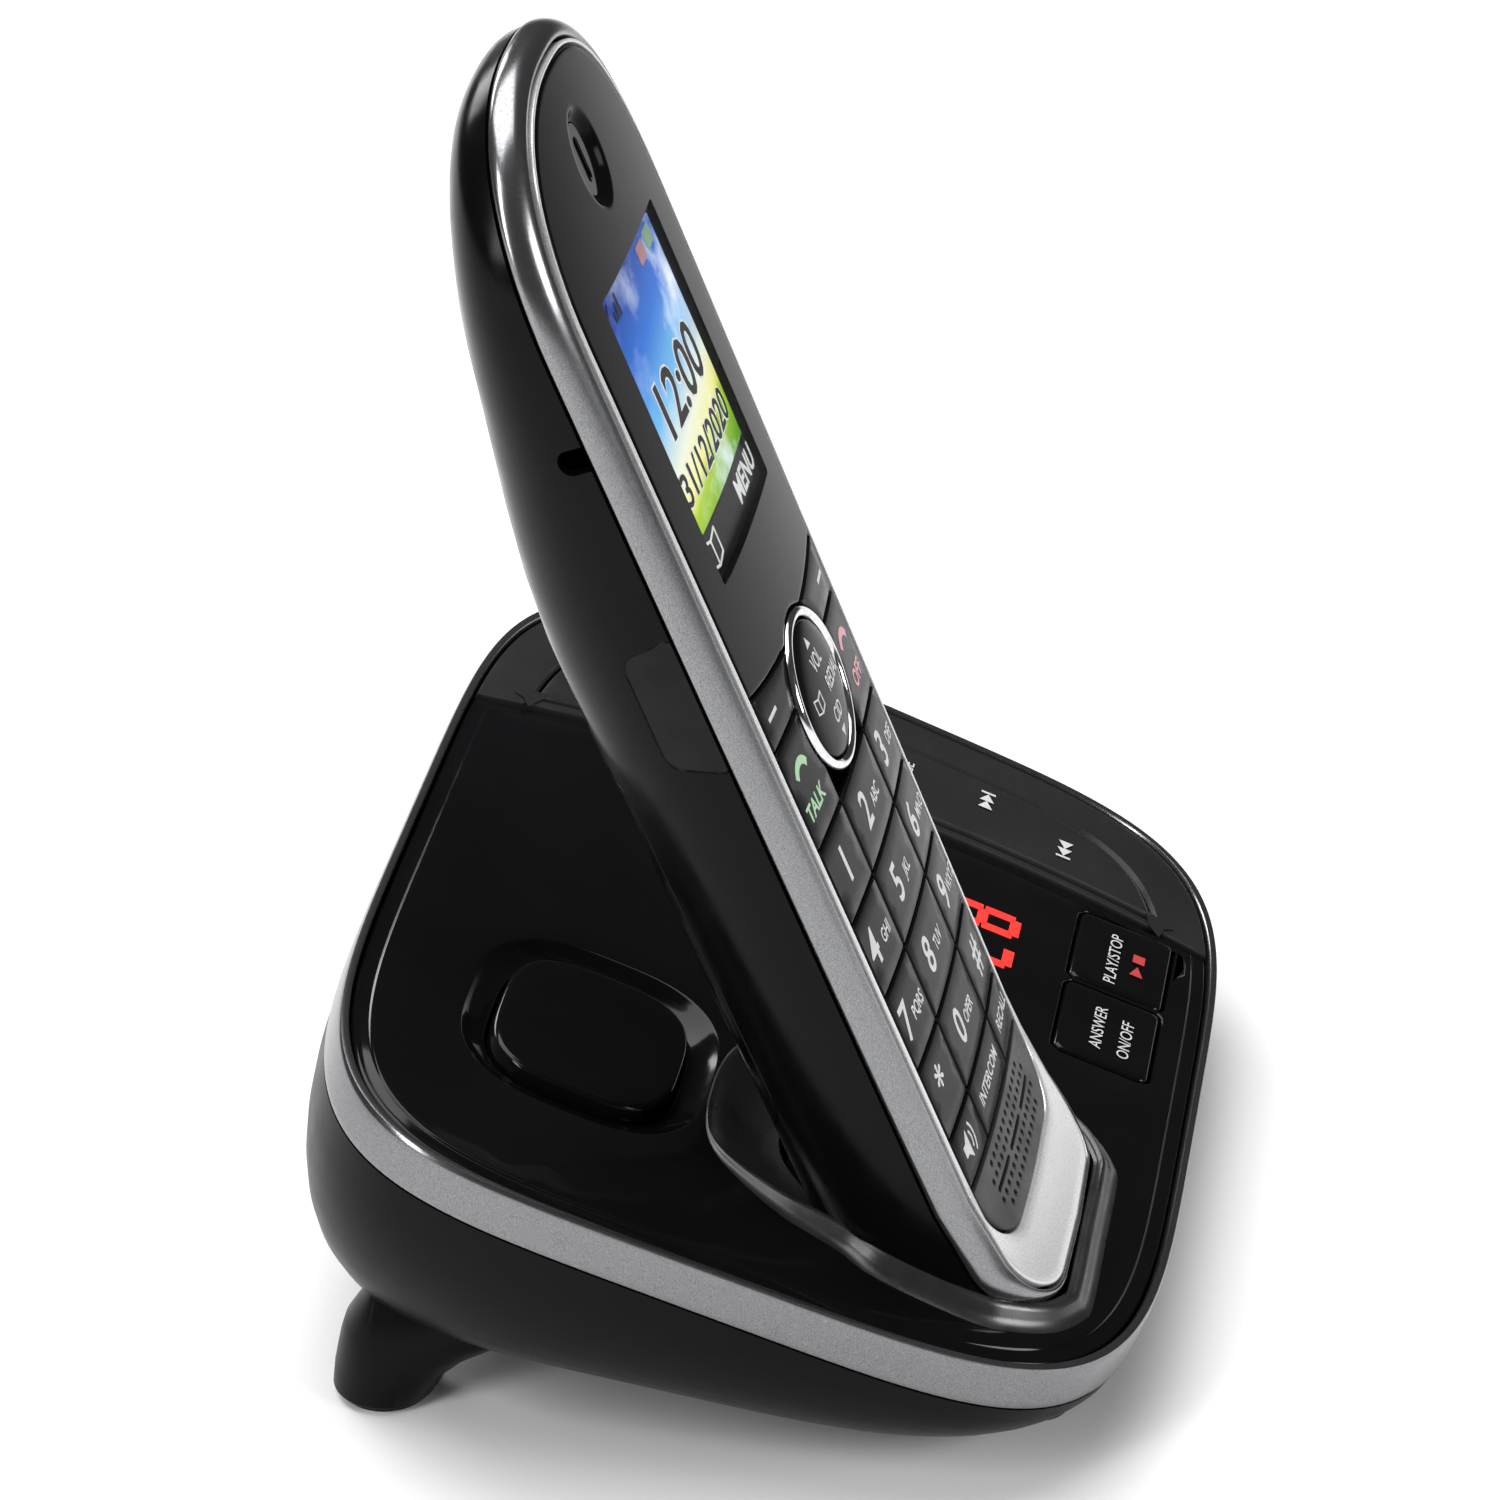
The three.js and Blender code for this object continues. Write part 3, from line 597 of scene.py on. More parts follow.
def handset_outline(side, top, bottom):
    """The outline from the front, pulled in by its own amount at the sides, top and bottom."""
    floor = BOTTOM + bottom
    corner = max(9.5 - side * 0.5, 3)
    low, high = HALF_BOTTOM - side, HALF_TOP - side
    right = [(0.0, floor)]
    for a in np.linspace(0, math.pi / 2, 12):
        right.append((low - corner * (1 - math.sin(a)), floor + corner * (1 - math.cos(a))))
    for t in np.linspace(0, 1, 14)[1:-1]:
        right.append((low + (high - low) * t, floor + corner + (SHOULDER - floor - corner) * t))
    crown = max(TOP - top - SHOULDER, 0.9 * high)
    for a in np.linspace(0, math.pi / 2, 22):
        x = high * max(math.cos(a), 0) ** (2 / 2.4)
        right.append((x if a < math.pi / 2 - 1e-6 else 0.0, SHOULDER + crown * math.sin(a) ** (2 / 2.4)))
    return np.array(right + [(-x, y) for x, y in right[1:-1][::-1]])


def face_height(x, y):
    return max(CHIN_START - y, 0) ** 2 / (2 * CHIN_RADIUS) - FACE_CURVE * x * x


def on_face(loop, height):
    return [(x, y, height + face_height(x, y)) for x, y in loop]


def back_depth(y):
    t = min(max((y - 92) / 60, 0), 1)
    return 23.0 - 8.6 * t * t * (3 - 2 * t)


def back_rings(grow):
    """Rings of the back's outer form, from the seam to the flat of the back."""
    rings = []
    for a in np.linspace(0, math.pi / 2, 15):
        part = math.sin(a) ** (2 / 2.25)
        pull = 1 - max(math.cos(a), 0) ** (2 / 2.25)
        loop = handset_outline(0.2 + 16 * pull - grow, 0.3 + 26 * pull - grow, 0.2 + 24 * pull - grow)
        rings.append([(x, y, (SEAM_Z - GAP + face_height(x, y)) * (1 - part)
                       + (-back_depth(y) - grow) * part) for x, y in loop])
    return rings


def back_form(grow, lift=0.0):
    """The back as a solid form; lift raises its open side over the seam."""
    shape = Shape()
    rings = back_rings(grow)
    if lift:
        rings.insert(0, [(x, y, z + lift) for x, y, z in rings[0]])
    made = shape.loft(rings, ends=False)
    shape.faces.append(tuple(made[0]))
    shape.fill([made[-1]], lambda x, y: -back_depth(y) - grow, 4)
    return shape


def smile(x):
    return 86 - 2.6 * (1 - (x / 24) ** 2)


def nav_edge(x):
    """The top of the navigation key's bay at x, or nothing outside it."""
    radius = NAV_RING + GAP
    return NAV_Y + math.sqrt(radius * radius - x * x) if abs(x) < radius else -1e9


def clip_y(loop, low, high):
    """The part of an anticlockwise loop between two heights."""
    for limit, sign in ((low, 1), (high, -1)):
        out = []
        for a, b in zip(loop, np.roll(loop, -1, 0)):
            da, db = sign * (a[1] - limit), sign * (b[1] - limit)
            if da >= 0:
                out.append(a)
            if (da > 0 > db) or (da < 0 < db):
                out.append(a + (b - a) * da / (da - db))
        loop = np.array(out)
    return loop


def face_loop(extra):
    inset = FACE_INSET + extra
    return handset_outline(inset, inset, FACE_BOTTOM - BOTTOM + extra)


def keypad_half(y):
    low = BOTTOM + 9.5
    t = (y - low) / (SHOULDER - low)
    return HALF_BOTTOM + (HALF_TOP - HALF_BOTTOM) * t - FACE_INSET - 0.15


def key_loop(column, low, high):
    """A key's outline: plain in the grid, cut round the navigation key beside it."""
    g = KEY_GAP

    def outer(y):
        return keypad_half(y) - 0.05

    if column == 0:
        corners = rectangle(-KEY_COLUMN + g, low + g, KEY_COLUMN - g, high - g)
        return densified(rounded(corners, 0.5, 4), 2)
    if low < 60:
        corners = [(KEY_COLUMN + g, low + g), (outer(low), low + g), (outer(high), high - g),
                   (KEY_COLUMN + g, high - g)]
        loop = rounded(corners, 0.5, 4)
    else:
        radius = NAV_RING + GAP
        inner = []
        if high < SOFTKEY_SPLIT + 1:
            for y in np.linspace(high - g, NAV_Y - radius * 0.82, 14):
                inner.append((math.sqrt(radius ** 2 - (y - NAV_Y) ** 2), y))
            inner = [(x, y) for x, y in inner if x > KEY_COLUMN + g]
            inner.append((KEY_COLUMN + g, NAV_Y - math.sqrt(radius ** 2 - (KEY_COLUMN + g) ** 2)))
            inner.append((KEY_COLUMN + g, low + g))
            corners = [(outer(low), low + g, 0.5), (outer(high), high - g, 0.5)] + inner
            loop = rounded(corners, 0.05, 2)
        else:
            top = [(x, smile(x) - 0.3) for x in np.linspace(outer(85), 5.6, 12)]
            for y in np.linspace(NAV_Y + 8.1, low + g, 12):
                inner.append((math.sqrt(radius ** 2 - (y - NAV_Y) ** 2) + 0.1, y))
            loop = rounded([(outer(low), low + g, 0.5)] + top + inner, 0.05, 2)
    loop = densified(loop, 2)
    if column < 0:
        loop = (loop * [-1, 1])[::-1]
    return loop


# ---- Legends ------------------------------------------------------------------------------------


INK_THICK = 0.04
INK_LIFT = 0.02                 # how far a legend stands over its surface


def letters(text, size, bold=0.0):
    """A word's outline as mesh points and faces, centred on the origin, in millimetres."""
    curve = bpy.data.curves.new("word", "FONT")
    curve.body = text
    curve.size = size
    curve.align_x = "CENTER"
    curve.align_y = "CENTER"
    curve.offset = bold
    curve.extrude = INK_THICK / 2
    curve.resolution_u = 3
    word = bpy.data.objects.new("word", curve)
    bpy.context.scene.collection.objects.link(word)
    depsgraph = bpy.context.evaluated_depsgraph_get()
    depsgraph.update()
    mesh = word.evaluated_get(depsgraph).to_mesh()
    points = [tuple(v.co) for v in mesh.vertices]
    faces = [tuple(p.vertices) for p in mesh.polygons]
    bpy.data.objects.remove(word)
    bpy.data.curves.remove(curve)
    return points, faces


def add_part(shape, points, faces, at=(0, 0), stretch=(1, 1), height=level, lift=INK_LIFT):
    """Lays a flat figure on a surface, stretched and moved."""
    start = len(shape.points)
    for x, y, z in points:
        px, py = at[0] + x * stretch[0], at[1] + y * stretch[1]
        shape.points.append((px, py, height(px, py) + z + lift))
    shape.faces += [tuple(start + i for i in f) for f in faces]


def word(shape, text, at, size, height=level, bold=0.0, stretch=(1, 1), lift=INK_LIFT):
    points, faces = letters(text, size, bold)
    add_part(shape, points, faces, at, stretch, height, lift)


def figure(shape, loop, height=level, lift=INK_LIFT):
    """A flat filled polygon laid on a surface."""
    loop = np.array(loop, float)
    count = len(loop)
    points = [(x, y, z) for z in (-INK_THICK / 2, INK_THICK / 2) for x, y in loop]
    faces = [tuple(range(count)), tuple(range(count, 2 * count))]
    faces += [(i, (i + 1) % count, count + (i + 1) % count, count + i) for i in range(count)]
    add_part(shape, points, faces, height=height, lift=lift)


def stroke(shape, path, width, height=level, lift=INK_LIFT, closed=False):
    """A line of even width along a path, as one flat quad a step."""
    path = np.array(path, float)
    steps = zip(path, np.roll(path, -1, 0)) if closed else zip(path[:-1], path[1:])
    for a, b in steps:
        along = (b - a) / max(np.linalg.norm(b - a), 1e-9)
        side = np.array([-along[1], along[0]]) * width / 2
        a, b = a - along * width * 0.2, b + along * width * 0.2
        figure(shape, [a - side, b - side, b + side, a + side], height, lift)


def arc_path(x, y, radius, start, end, count=12):
    return [(x + radius * math.cos(a * DEG), y + radius * math.sin(a * DEG))
            for a in np.linspace(start, end, count)]


# ---- Materials used -----------------------------------------------------------------------------

GLOSS = plastic("gloss_black", (0.004, 0.004, 0.0045), 0.09, specular=0.2, spread=0.4)
SHELL_BLACK = plastic("shell_black", (0.003, 0.003, 0.0033), 0.2, specular=0.1, spread=0.3)
SATIN = plastic("satin_black", (0.003, 0.003, 0.0033), 0.34, grain=0.2, specular=0.09, spread=0.08)
KEYS = plastic("key_black", (0.005, 0.005, 0.0055), 0.24, grain=0.06, specular=0.07)
FACE = plastic("face_black", (0.004, 0.004, 0.0045), 0.12, specular=0.05, spread=0.3)
GREY = plastic("panel_grey", (0.02, 0.02, 0.021), 0.3, grain=0.15, specular=0.2)
RUBBER = plastic("rubber_black", (0.006, 0.006, 0.0065), 0.5, grain=0.35, grain_scale=4000, specular=0.18)
SILVER = lacquer("satin_silver", (0.15, 0.153, 0.158), (0.36, 0.363, 0.37), 0.94, 0.22)
RIM_SILVER = lacquer("rim_silver", (0.13, 0.132, 0.138), (0.31, 0.312, 0.32), 0.94, 0.22)
# Base colour lighter than the gloss panel's, with raised specular: painted sheen that stands in for the
# reflection of a light on the collar's scoop.
PAINTED_SHEEN_RAMP = plastic("ramp_painted_sheen", (0.014, 0.014, 0.0145), 0.3, specular=0.8)
BRIGHT = lacquer("bright_silver", (0.62, 0.62, 0.63), (0.84, 0.84, 0.85), 0.55, 0.3, 0.15)
CHROME = lacquer("chrome", (0.66, 0.66, 0.68), (0.8, 0.8, 0.82), 1.0, 0.12, 0.03, 1200)
BOARD = plastic("board_green", (0.012, 0.1, 0.045), 0.5, grain=0.3, grain_scale=900)
CONTACT = lacquer("contact_metal", (0.55, 0.42, 0.2), (0.75, 0.6, 0.32), 1.0, 0.22, 0.1, 1500)
STEEL = lacquer("steel", (0.35, 0.35, 0.36), (0.55, 0.55, 0.56), 1.0, 0.3, 0.15, 2500)
CELL = plastic("cell_wrap", (0.03, 0.2, 0.07), 0.4, grain=0.1)
CONE = plastic("speaker_cone", (0.02, 0.02, 0.021), 0.7, grain=0.5, grain_scale=1800)
RED = ink("red_digits", (0.9, 0.02, 0.015), 1.6)
WHITE_INK = ink("white_ink", (0.62, 0.62, 0.62))
GREEN_INK = ink("green_ink", (0.34, 0.58, 0.34), 0.1)
PINK_INK = ink("pink_ink", (0.62, 0.3, 0.34), 0.1)
RED_INK = ink("red_ink", (0.55, 0.05, 0.05))
SCREEN_BLACK = ink("screen_black", (0.004, 0.004, 0.006))
SCREEN_WHITE = ink("screen_white", (0.85, 0.87, 0.86), 0.35)


def screen_picture(low, high):
    """A landscape on the display: blue sky with cloud over a cream haze and grass."""
    n = Nodes("screen")
    to_handset = HANDSET.inverted()
    place = n.add("Mapping", {"Rotation": to_handset.to_euler(), "Location": to_handset.translation * MM,
                              "Vector": n.place}, "Vector", vector_type="POINT")
    across_screen = n.add("SeparateXYZ", {"Vector": place}, "X")
    along_screen = n.add("SeparateXYZ", {"Vector": place}, "Y")
    tilted = n.add("Math", {0: across_screen, 1: -0.18, 2: along_screen}, "Value", operation="MULTIPLY_ADD")
    up = n.spread(tilted, 0, 1, low * MM, high * MM)
    landscape = n.ramp(up, [(0.1, (0.09, 0.3, 0.01)), (0.26, (0.34, 0.52, 0.03)), (0.31, (0.75, 0.72, 0.22)),
                            (0.42, (0.72, 0.76, 0.62)), (0.58, (0.14, 0.42, 0.72)),
                            (0.76, (0.02, 0.14, 0.55)), (1, (0.006, 0.03, 0.24))])
    puffs = n.ramp(n.noise(95, 6, 0.6), [(0.47, (0, 0, 0)), (0.68, (1, 1, 1))])
    rightward = n.spread(across_screen, 0.1, 1, -12 * MM, 10 * MM)
    cloud = n.add("Math", {0: puffs, 1: rightward}, "Value", operation="MULTIPLY")
    picture = n.add("Mix", {"Factor": cloud, 6: landscape, 7: (0.72, 0.8, 0.9, 1)}, 2, data_type="RGBA")
    n.link(picture, "Base Color")
    n.link(picture, "Emission Color")
    n.set(Emission_Strength=0.75, Roughness=0.25, Specular_IOR_Level=0.05)
    return n.material


def clear_glass():
    n = Nodes("clear_window")
    n.link(n.spread(n.noise(300, 2), 0.02, 0.05), "Roughness")
    n.set(IOR=1.02, Transmission_Weight=1.0)
    return n.material


# ---- Base pieces --------------------------------------------------------------------------------

# Edges as (inset, drop) pairs.
STEP_EDGE = [(0, 0.95), (0.08, 0.6), (0.25, 0.45), (0.5, 0.36), (1.9, 0.3), (2.05, 0.2), (2.15, 0.06),
             (2.3, 0)]
THIN_EDGE = [(0, 0.4), (0.06, 0.2), (0.2, 0.05), (0.4, 0)]
FACE_EDGE = [(0, 0.4), (0.05, 0.15), (0.2, 0.03), (0.4, 0)]
SHEET_EDGE = [(0, 0.05), (0.05, 0)]
HOLE_EDGE = [(0, 0.15), (0.08, 0)]


def spread_foot(top, amount):
    """The collar's top edge grown outward, less at the back, where the locator's trench is near."""
    flat = top[:, :2]
    share = np.clip((7 - flat[:, 1]) / 14, 0.1, 1)[:, None]
    return flat + (grown(flat, amount) - flat) * share


def base_panel():
    """The gloss panel left of the arc, and the grey side area right of it."""
    left, right = split_by_arc(panel_outline(0), 0.5)
    collar = spread_foot(collar_loop(COLLAR_TOP), 2.6)
    trench = [(0, 1.9), (0.5, 1.85), (2, 1.1), (2.9, 0.5), (3.3, 0.18), (3.5, 0.05), (3.7, 0)]
    holes = [(collar, [(0, 0.35), (0.05, 0)]), (locator_loop(0.3), trench),
             (button_loop(*PLAY_SPAN, GAP), THIN_EDGE), (button_loop(*ANSWER_SPAN, GAP), THIN_EDGE)]
    make("base_top_panel", plate(left, holes, 2.2, STEP_EDGE, spacing=PANEL_SPACING), BASE, "base", GLOSS,
         ["base_top_panel"])
    strip = split_by_arc(panel_outline(-STRIP_INSET), -2 * GAP)[1]
    inner = grown(strip, -2.2)
    bay = (inner, [(0, 0.5), (0.3, 0.2), (0.5, 0)])
    make("base_side_panel", plate(right, [bay], 2.2, THIN_EDGE, spacing=PANEL_SPACING), BASE, "base", GREY)
    edge = [(0, 0.9), (0.1, 0.2), (0.35, -0.05), (0.8, -0.2)]
    make("function_strip", plate(grown(inner, -0.35), [], 2.4, edge, spacing=PANEL_SPACING), BASE,
         "function_strip_body", GREY, ["function_strip"])


def base_collar():
    """The cradle's raised collar and the scooped ramp behind the handset."""
    top, lip = collar_loop(COLLAR_TOP), collar_loop(COLLAR_LIP)
    flat = top[:, :2]
    foot = spread_foot(top, 2.6)
    rings = [with_height(foot, -1.6), with_height(foot, 0)]
    for grow, share in ((1.9, 0.12), (1.3, 0.42), (0.8, 0.76), (0.4, 0.95)):
        rings.append(with_height(spread_foot(top, grow), top[:, 2] * share))
    rings.append(top)
    for t in (0.08, 0.2, 0.4, 0.6, 0.8, 0.93, 1):
        sag = 0.9 * math.sin(math.pi * t)
        wide = np.linalg.norm(top - lip, axis=1) / 7
        ring = top * (1 - t) + lip * t
        ring[:, 2] -= sag * np.clip(wide, 0, 1)
        rings.append(ring)
    inner = grown(lip[:, :2], -0.35)
    rings.append(with_height(inner, lip[:, 2] - 0.25))
    rings.append(with_height(inner, lip[:, 2] - 1.4))
    under = grown(lip[:, :2], 0.6)
    rings.append(with_height(under, lip[:, 2] - 1.8))
    rings.append(with_height(grown(flat, 0.5), top[:, 2] - 3.2))
    shape = Shape()
    shape.loft(rings, around=True)
    # The whole collar takes the lighter material, so its colour carries painted sheen for the light
    # reflected on the scoop.
    make("cradle_collar", shape, BASE, "base", PAINTED_SHEEN_RAMP, sharp=35)
    cup = make("charging_pocket", back_form(2.2, 9), HANDSET, "base", SATIN)
    carve(cup, cutter("above", block(-90, -90, -2, 90, 90, 200), BASE))
    carve(cup, cutter("room", back_form(0.8, 14), HANDSET))
    for side in (-1, 1):
        x = HANDSET_X + side * 8
        carve(cup, cutter("slot", block(x - 1.5, -28.6, -20, x + 1.5, -25, 0), BASE))


def base_buttons():
    edge = [(0, 1.9), (0.04, 0.35), (0.15, 0.1), (0.4, -0.1), (0.9, -0.2)]
    pillow = [(0, 2.3), (0.04, 0.1), (0.15, -0.15), (0.4, -0.32), (0.9, -0.42)]
    loop = locator_loop(-0.15)
    make("locator_button", plate(loop, [], 3, pillow, spacing=4), BASE, "locator_button_body", GLOSS,
         ["locator_button"])
    for name, left, right in (("play_stop_button", *PLAY_SPAN), ("answer_button", *ANSWER_SPAN)):
        make(name, plate(button_loop(left, right), [], 3, edge, spacing=3), BASE, name + "_body", GLOSS,
             [name])


DIGIT_FRONT, DIGIT_STROKE = -24.9, 1.4
DIGIT_REACH = (3.7, 8.8)
SEGMENTS = {"top": [(0.2, 1), (1.0, 1)], "upper_left": [(0, 0.95), (0, 0.55)],
            "upper_right": [(1, 0.95), (1, 0.55)], "middle": [(0.15, 0.5), (0.85, 0.5)],
            "lower_left": [(0, 0.45), (0, 0.05)], "lower_right": [(1, 0.45), (1, 0.05)],
            "bottom": [(0.1, 0), (0.9, 0)]}


def base_digits():
    """Two seven-segment digits that shine through the gloss panel."""
    shape = Shape()
    wide, high = DIGIT_REACH
    half = DIGIT_STROKE / 2
    for left, off in ((16.3, ("upper_left", "lower_right")), (23.4, ())):
        for name, path in SEGMENTS.items():
            if name not in off:
                path = [(left + half + wide * a, DIGIT_FRONT + half + high * b) for a, b in path]
                stroke(shape, path, DIGIT_STROKE, lift=0.03)
    make("counter_digits", shape, BASE, "base", RED, ["counter_window"])


def base_legends():
    shape = Shape()
    word(shape, "PLAY/STOP", (27.8, -37.5), 2.3, lift=BUTTON_INK)
    make("play_legend", shape, BASE, "play_stop_button_body", WHITE_INK)
    shape = Shape()
    figure(shape, [(25.9, -41.6), (28.1, -40.7), (25.9, -39.8)], lift=BUTTON_INK)
    figure(shape, rectangle(28.9, -41.5, 30.7, -39.9), lift=BUTTON_INK)
    make("play_icon", shape, BASE, "play_stop_button_body", RED_INK)
    shape = Shape()
    word(shape, "ANSWER", (11.6, -37.4), 2.3, lift=BUTTON_INK)
    word(shape, "ON/OFF", (11, -41.1), 2.3, lift=BUTTON_INK)
    make("answer_legend", shape, BASE, "answer_button_body", WHITE_INK)
    shape = Shape()
    for x in (0, 1.7):
        figure(shape, [(50.6 + x, -17.6), (52.3 + x, -16.6), (50.6 + x, -15.6)], lift=STRIP_INK)
        figure(shape, [(50.2 - x, -27.1), (48.5 - x, -28.1), (50.2 - x, -29.1)], lift=STRIP_INK)
    figure(shape, rectangle(54.1, -17.6, 54.5, -15.6), lift=STRIP_INK)
    figure(shape, rectangle(46.3, -29.1, 46.7, -27.1), lift=STRIP_INK)
    word(shape, "ERASE", (51.2, -5.5), 2.2, lift=STRIP_INK)
    word(shape, "+", (49.5, 6.5), 3.2, lift=STRIP_INK)
    word(shape, "-", (48, 16.5), 3.2, lift=STRIP_INK)
    make("strip_legend", shape, BASE, "function_strip_body", WHITE_INK)


def base_rim():
    profile = [(GAP, -RIM_DEPTH), (GAP, -0.5), (0.38, 0.02), (0.5, 0.18), (1.0, 0.2), (1.28, 0.12),
               (1.42, -0.15), (1.48, -0.6), (1.55, -1.4), (1.59, -2.6), (1.6, -3.8), (1.59, -4.8),
               (1.55, -5.5), (1.42, -RIM_DEPTH)]
    shape = Shape()
    shape.loft([with_height(panel_outline(grow), z) for grow, z in profile], around=True)
    make("base_trim_ring", shape, BASE, "base", RIM_SILVER, ["base_trim_ring"], sharp=32)


def underside(y):
    return UNDERSIDE[0] + UNDERSIDE[1] * y


def bowl(shrink, lid=None):
    """The housing's round-bottomed form, shrunk; lid is the height of a straight wall above it."""
    top = RIM_WIDTH - 0.2 - shrink
    start = -RIM_DEPTH - GAP
    rings = [] if lid is None else [with_height(panel_outline(top, count=HOUSING_COUNT), lid)]
    for a in np.linspace(0, math.pi / 2, 10):
        tuck = HOUSING_TUCK * (1 - math.cos(a))
        loop = panel_outline(top - tuck, PANEL_POWER - 0.6 * math.sin(a), HOUSING_COUNT)
        deep = underside(loop[:, 1]) + shrink - start
        rings.append(with_height(loop, start + deep * math.sin(a)))
    shape = Shape()
    shape.loft(rings)
    return shape


def rear_foot(side):
    """A tall leaning cone: its front flares forward into the underside."""
    shape = Shape()
    rings = []
    for h, front, back, half in ((0.9, 6.0, 6.0, 6.0), (1.2, 6.2, 6.2, 6.2), (4, 7.8, 5.9, 6.1),
                                 (6.5, 10.8, 5.4, 6.1), (8.5, 14.6, 5, 6), (10.5, 19, 4.4, 5.8),
                                 (13, 24, 2.8, 5), (16, 28, 0.6, 3.6)):
        ring = []
        for a in np.linspace(0, 2 * math.pi, 49)[:-1]:
            c, s = math.cos(a), math.sin(a)
            ring.append((side * REAR_FOOT_X + half * c, REAR_FOOT_Y + (back if s > 0 else front) * s, h))
        rings.append(ring)
    shape.loft(rings)
    return shape


def base_housing():
    outer, inner = bowl(0), bowl(2, 4)
    piece = make("base_lower_housing", outer, BASE, "base", SATIN, ["base_lower_housing"])
    for side in (-1, 1):
        carve(piece, cutter("foot", rear_foot(side), WORLD), "UNION")
    carve(piece, cutter("cavity", inner, BASE))
    for x, half_x, half_z in ((DC_JACK_X, 3, 3), (LINE_JACK_X, 4.8, 3.4)):
        hole = block(x - half_x, 40, JACK_Z - half_z, x + half_x, 62, JACK_Z + half_z)
        carve(piece, cutter("jack_hole", hole, WORLD))
    for i in range(5):
        slot = rounded(rectangle(19.2 + 4 * i, 8, 20.8 + 4 * i, 28), 0.79, 5)
        carve(piece, cutter("sound_slot", prism(slot, -40, -24), BASE))
    for x, y in ((-42, -22), (44, -22)):
        carve(piece, cutter("screw_hole", prism(ellipse(x, y, 2.2, 2.2, 24), -40, -14), BASE), sharp=32)


def base_feet():
    for side, name in ((-1, "left"), (1, "right")):
        pad = Shape()
        rings = [(5.0, 0), (5.3, 0.1), (5.4, 0.3), (5.4, 0.9)]
        pad.loft([[(*p, z) for p in ellipse(side * REAR_FOOT_X, REAR_FOOT_Y, r, r, 40)] for r, z in rings])
        make("rear_pad_" + name, pad, WORLD, "base", RUBBER, ["rear_foot_pad_" + name])
        foot = Shape()
        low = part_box("front_foot_" + name)
        middle = (low[0] + low[1]) / 2 / MM
        rings = [(3.4, 0), (3.75, 0.12), (3.95, 0.4), (4, 0.9), (4, 8)]
        foot.loft([[(*p, z) for p in ellipse(middle.x, middle.y, r, r, 40)] for r, z in rings])
        piece = make("front_rubber_" + name, foot, Matrix.Identity(4), "base", RUBBER,
                     ["front_foot_" + name])
        carve(piece, cutter("underside", bowl(-GAP, 4), BASE))


def base_jack_details():
    pin = Shape()
    pin.loft([[(DC_JACK_X + r * c, y, JACK_Z + r * s) for c, s in ellipse(0, 0, 1, 1, 20)]
              for r, y in ((0.7, 38.6), (0.7, 46), (0.45, 46.8))])
    make("dc_jack_pin", pin, WORLD, "base", STEEL)
    wires = Shape()
    for i in range(4):
        x = LINE_JACK_X - 1.8 + 1.2 * i
        wires.loft([[(x + 0.25 * c, y, z + 0.25 * s) for c, s in ellipse(0, 0, 1, 1, 8)]
                    for y, z in ((38.6, 33.8), (42, 33.2), (45.5, 31.6))])
    make("line_jack_contacts", wires, WORLD, "base", CONTACT)


# ---- Handset pieces -----------------------------------------------------------------------------


def handset_shell():
    outer, inner = back_form(0), back_form(-1.6, 3)
    shell = make("handset_back_shell", outer, HANDSET, "handset", SHELL_BLACK,
                 ["handset_back_shell"])
    carve(shell, cutter("hollow", inner, HANDSET))
    door = rounded(rectangle(-17.5, 30, 17.5, 80), 5, 8)
    cover = make("battery_cover", back_form(0), HANDSET, "battery_cover_body", SHELL_BLACK,
                 ["battery_cover"])
    carve(cover, cutter("hollow", inner, HANDSET))
    carve(cover, cutter("door", prism(door, -40, -15), HANDSET), "INTERSECT")
    carve(shell, cutter("door_gap", prism(grown(door, GAP), -40, -14.7), HANDSET))
    jack = rounded([(-11.6, 81.2, 2.2), (-4.9, 78.9, 0.8), (-4.9, 96.1, 0.8), (-11.6, 95, 2.2)], 1.2, 7)
    carve(shell, cutter("socket_gap", across(jack, -30, -18.8), HANDSET))
    flap = make("headset_jack_cover", back_form(0), HANDSET, "headset_jack_cover_body", RUBBER,
                ["headset_jack_cover"])
    carve(flap, cutter("flap", across(grown(jack, GAP), -30, -21.2), HANDSET), "INTERSECT")
    notch = rounded([(-8.6, 117.6, 1.4), (-3.2, 117.6, 0.3), (-3.2, 120.6, 0.3), (-8.6, 120.6, 1.4)], 1, 6)
    carve(shell, cutter("seam_slot", across(notch, -30, -20), HANDSET))
    for s in (-1, 1):
        turned = HANDSET @ Matrix.Translation((s * 8, 3.1, -10.7)) @ Matrix.Rotation(33 * DEG, 4, "X")
        carve(shell, cutter("contact_gap", block(-2.9, -1.7, -2.7, 2.9, 1.7, 2.7), turned))


def across(loop, x0, x1):
    """A prism along X of a loop given as (z, y) pairs."""
    shape = Shape()
    shape.loft([[(x, y, z) for z, y in loop] for x in (x0, x1)])
    return shape


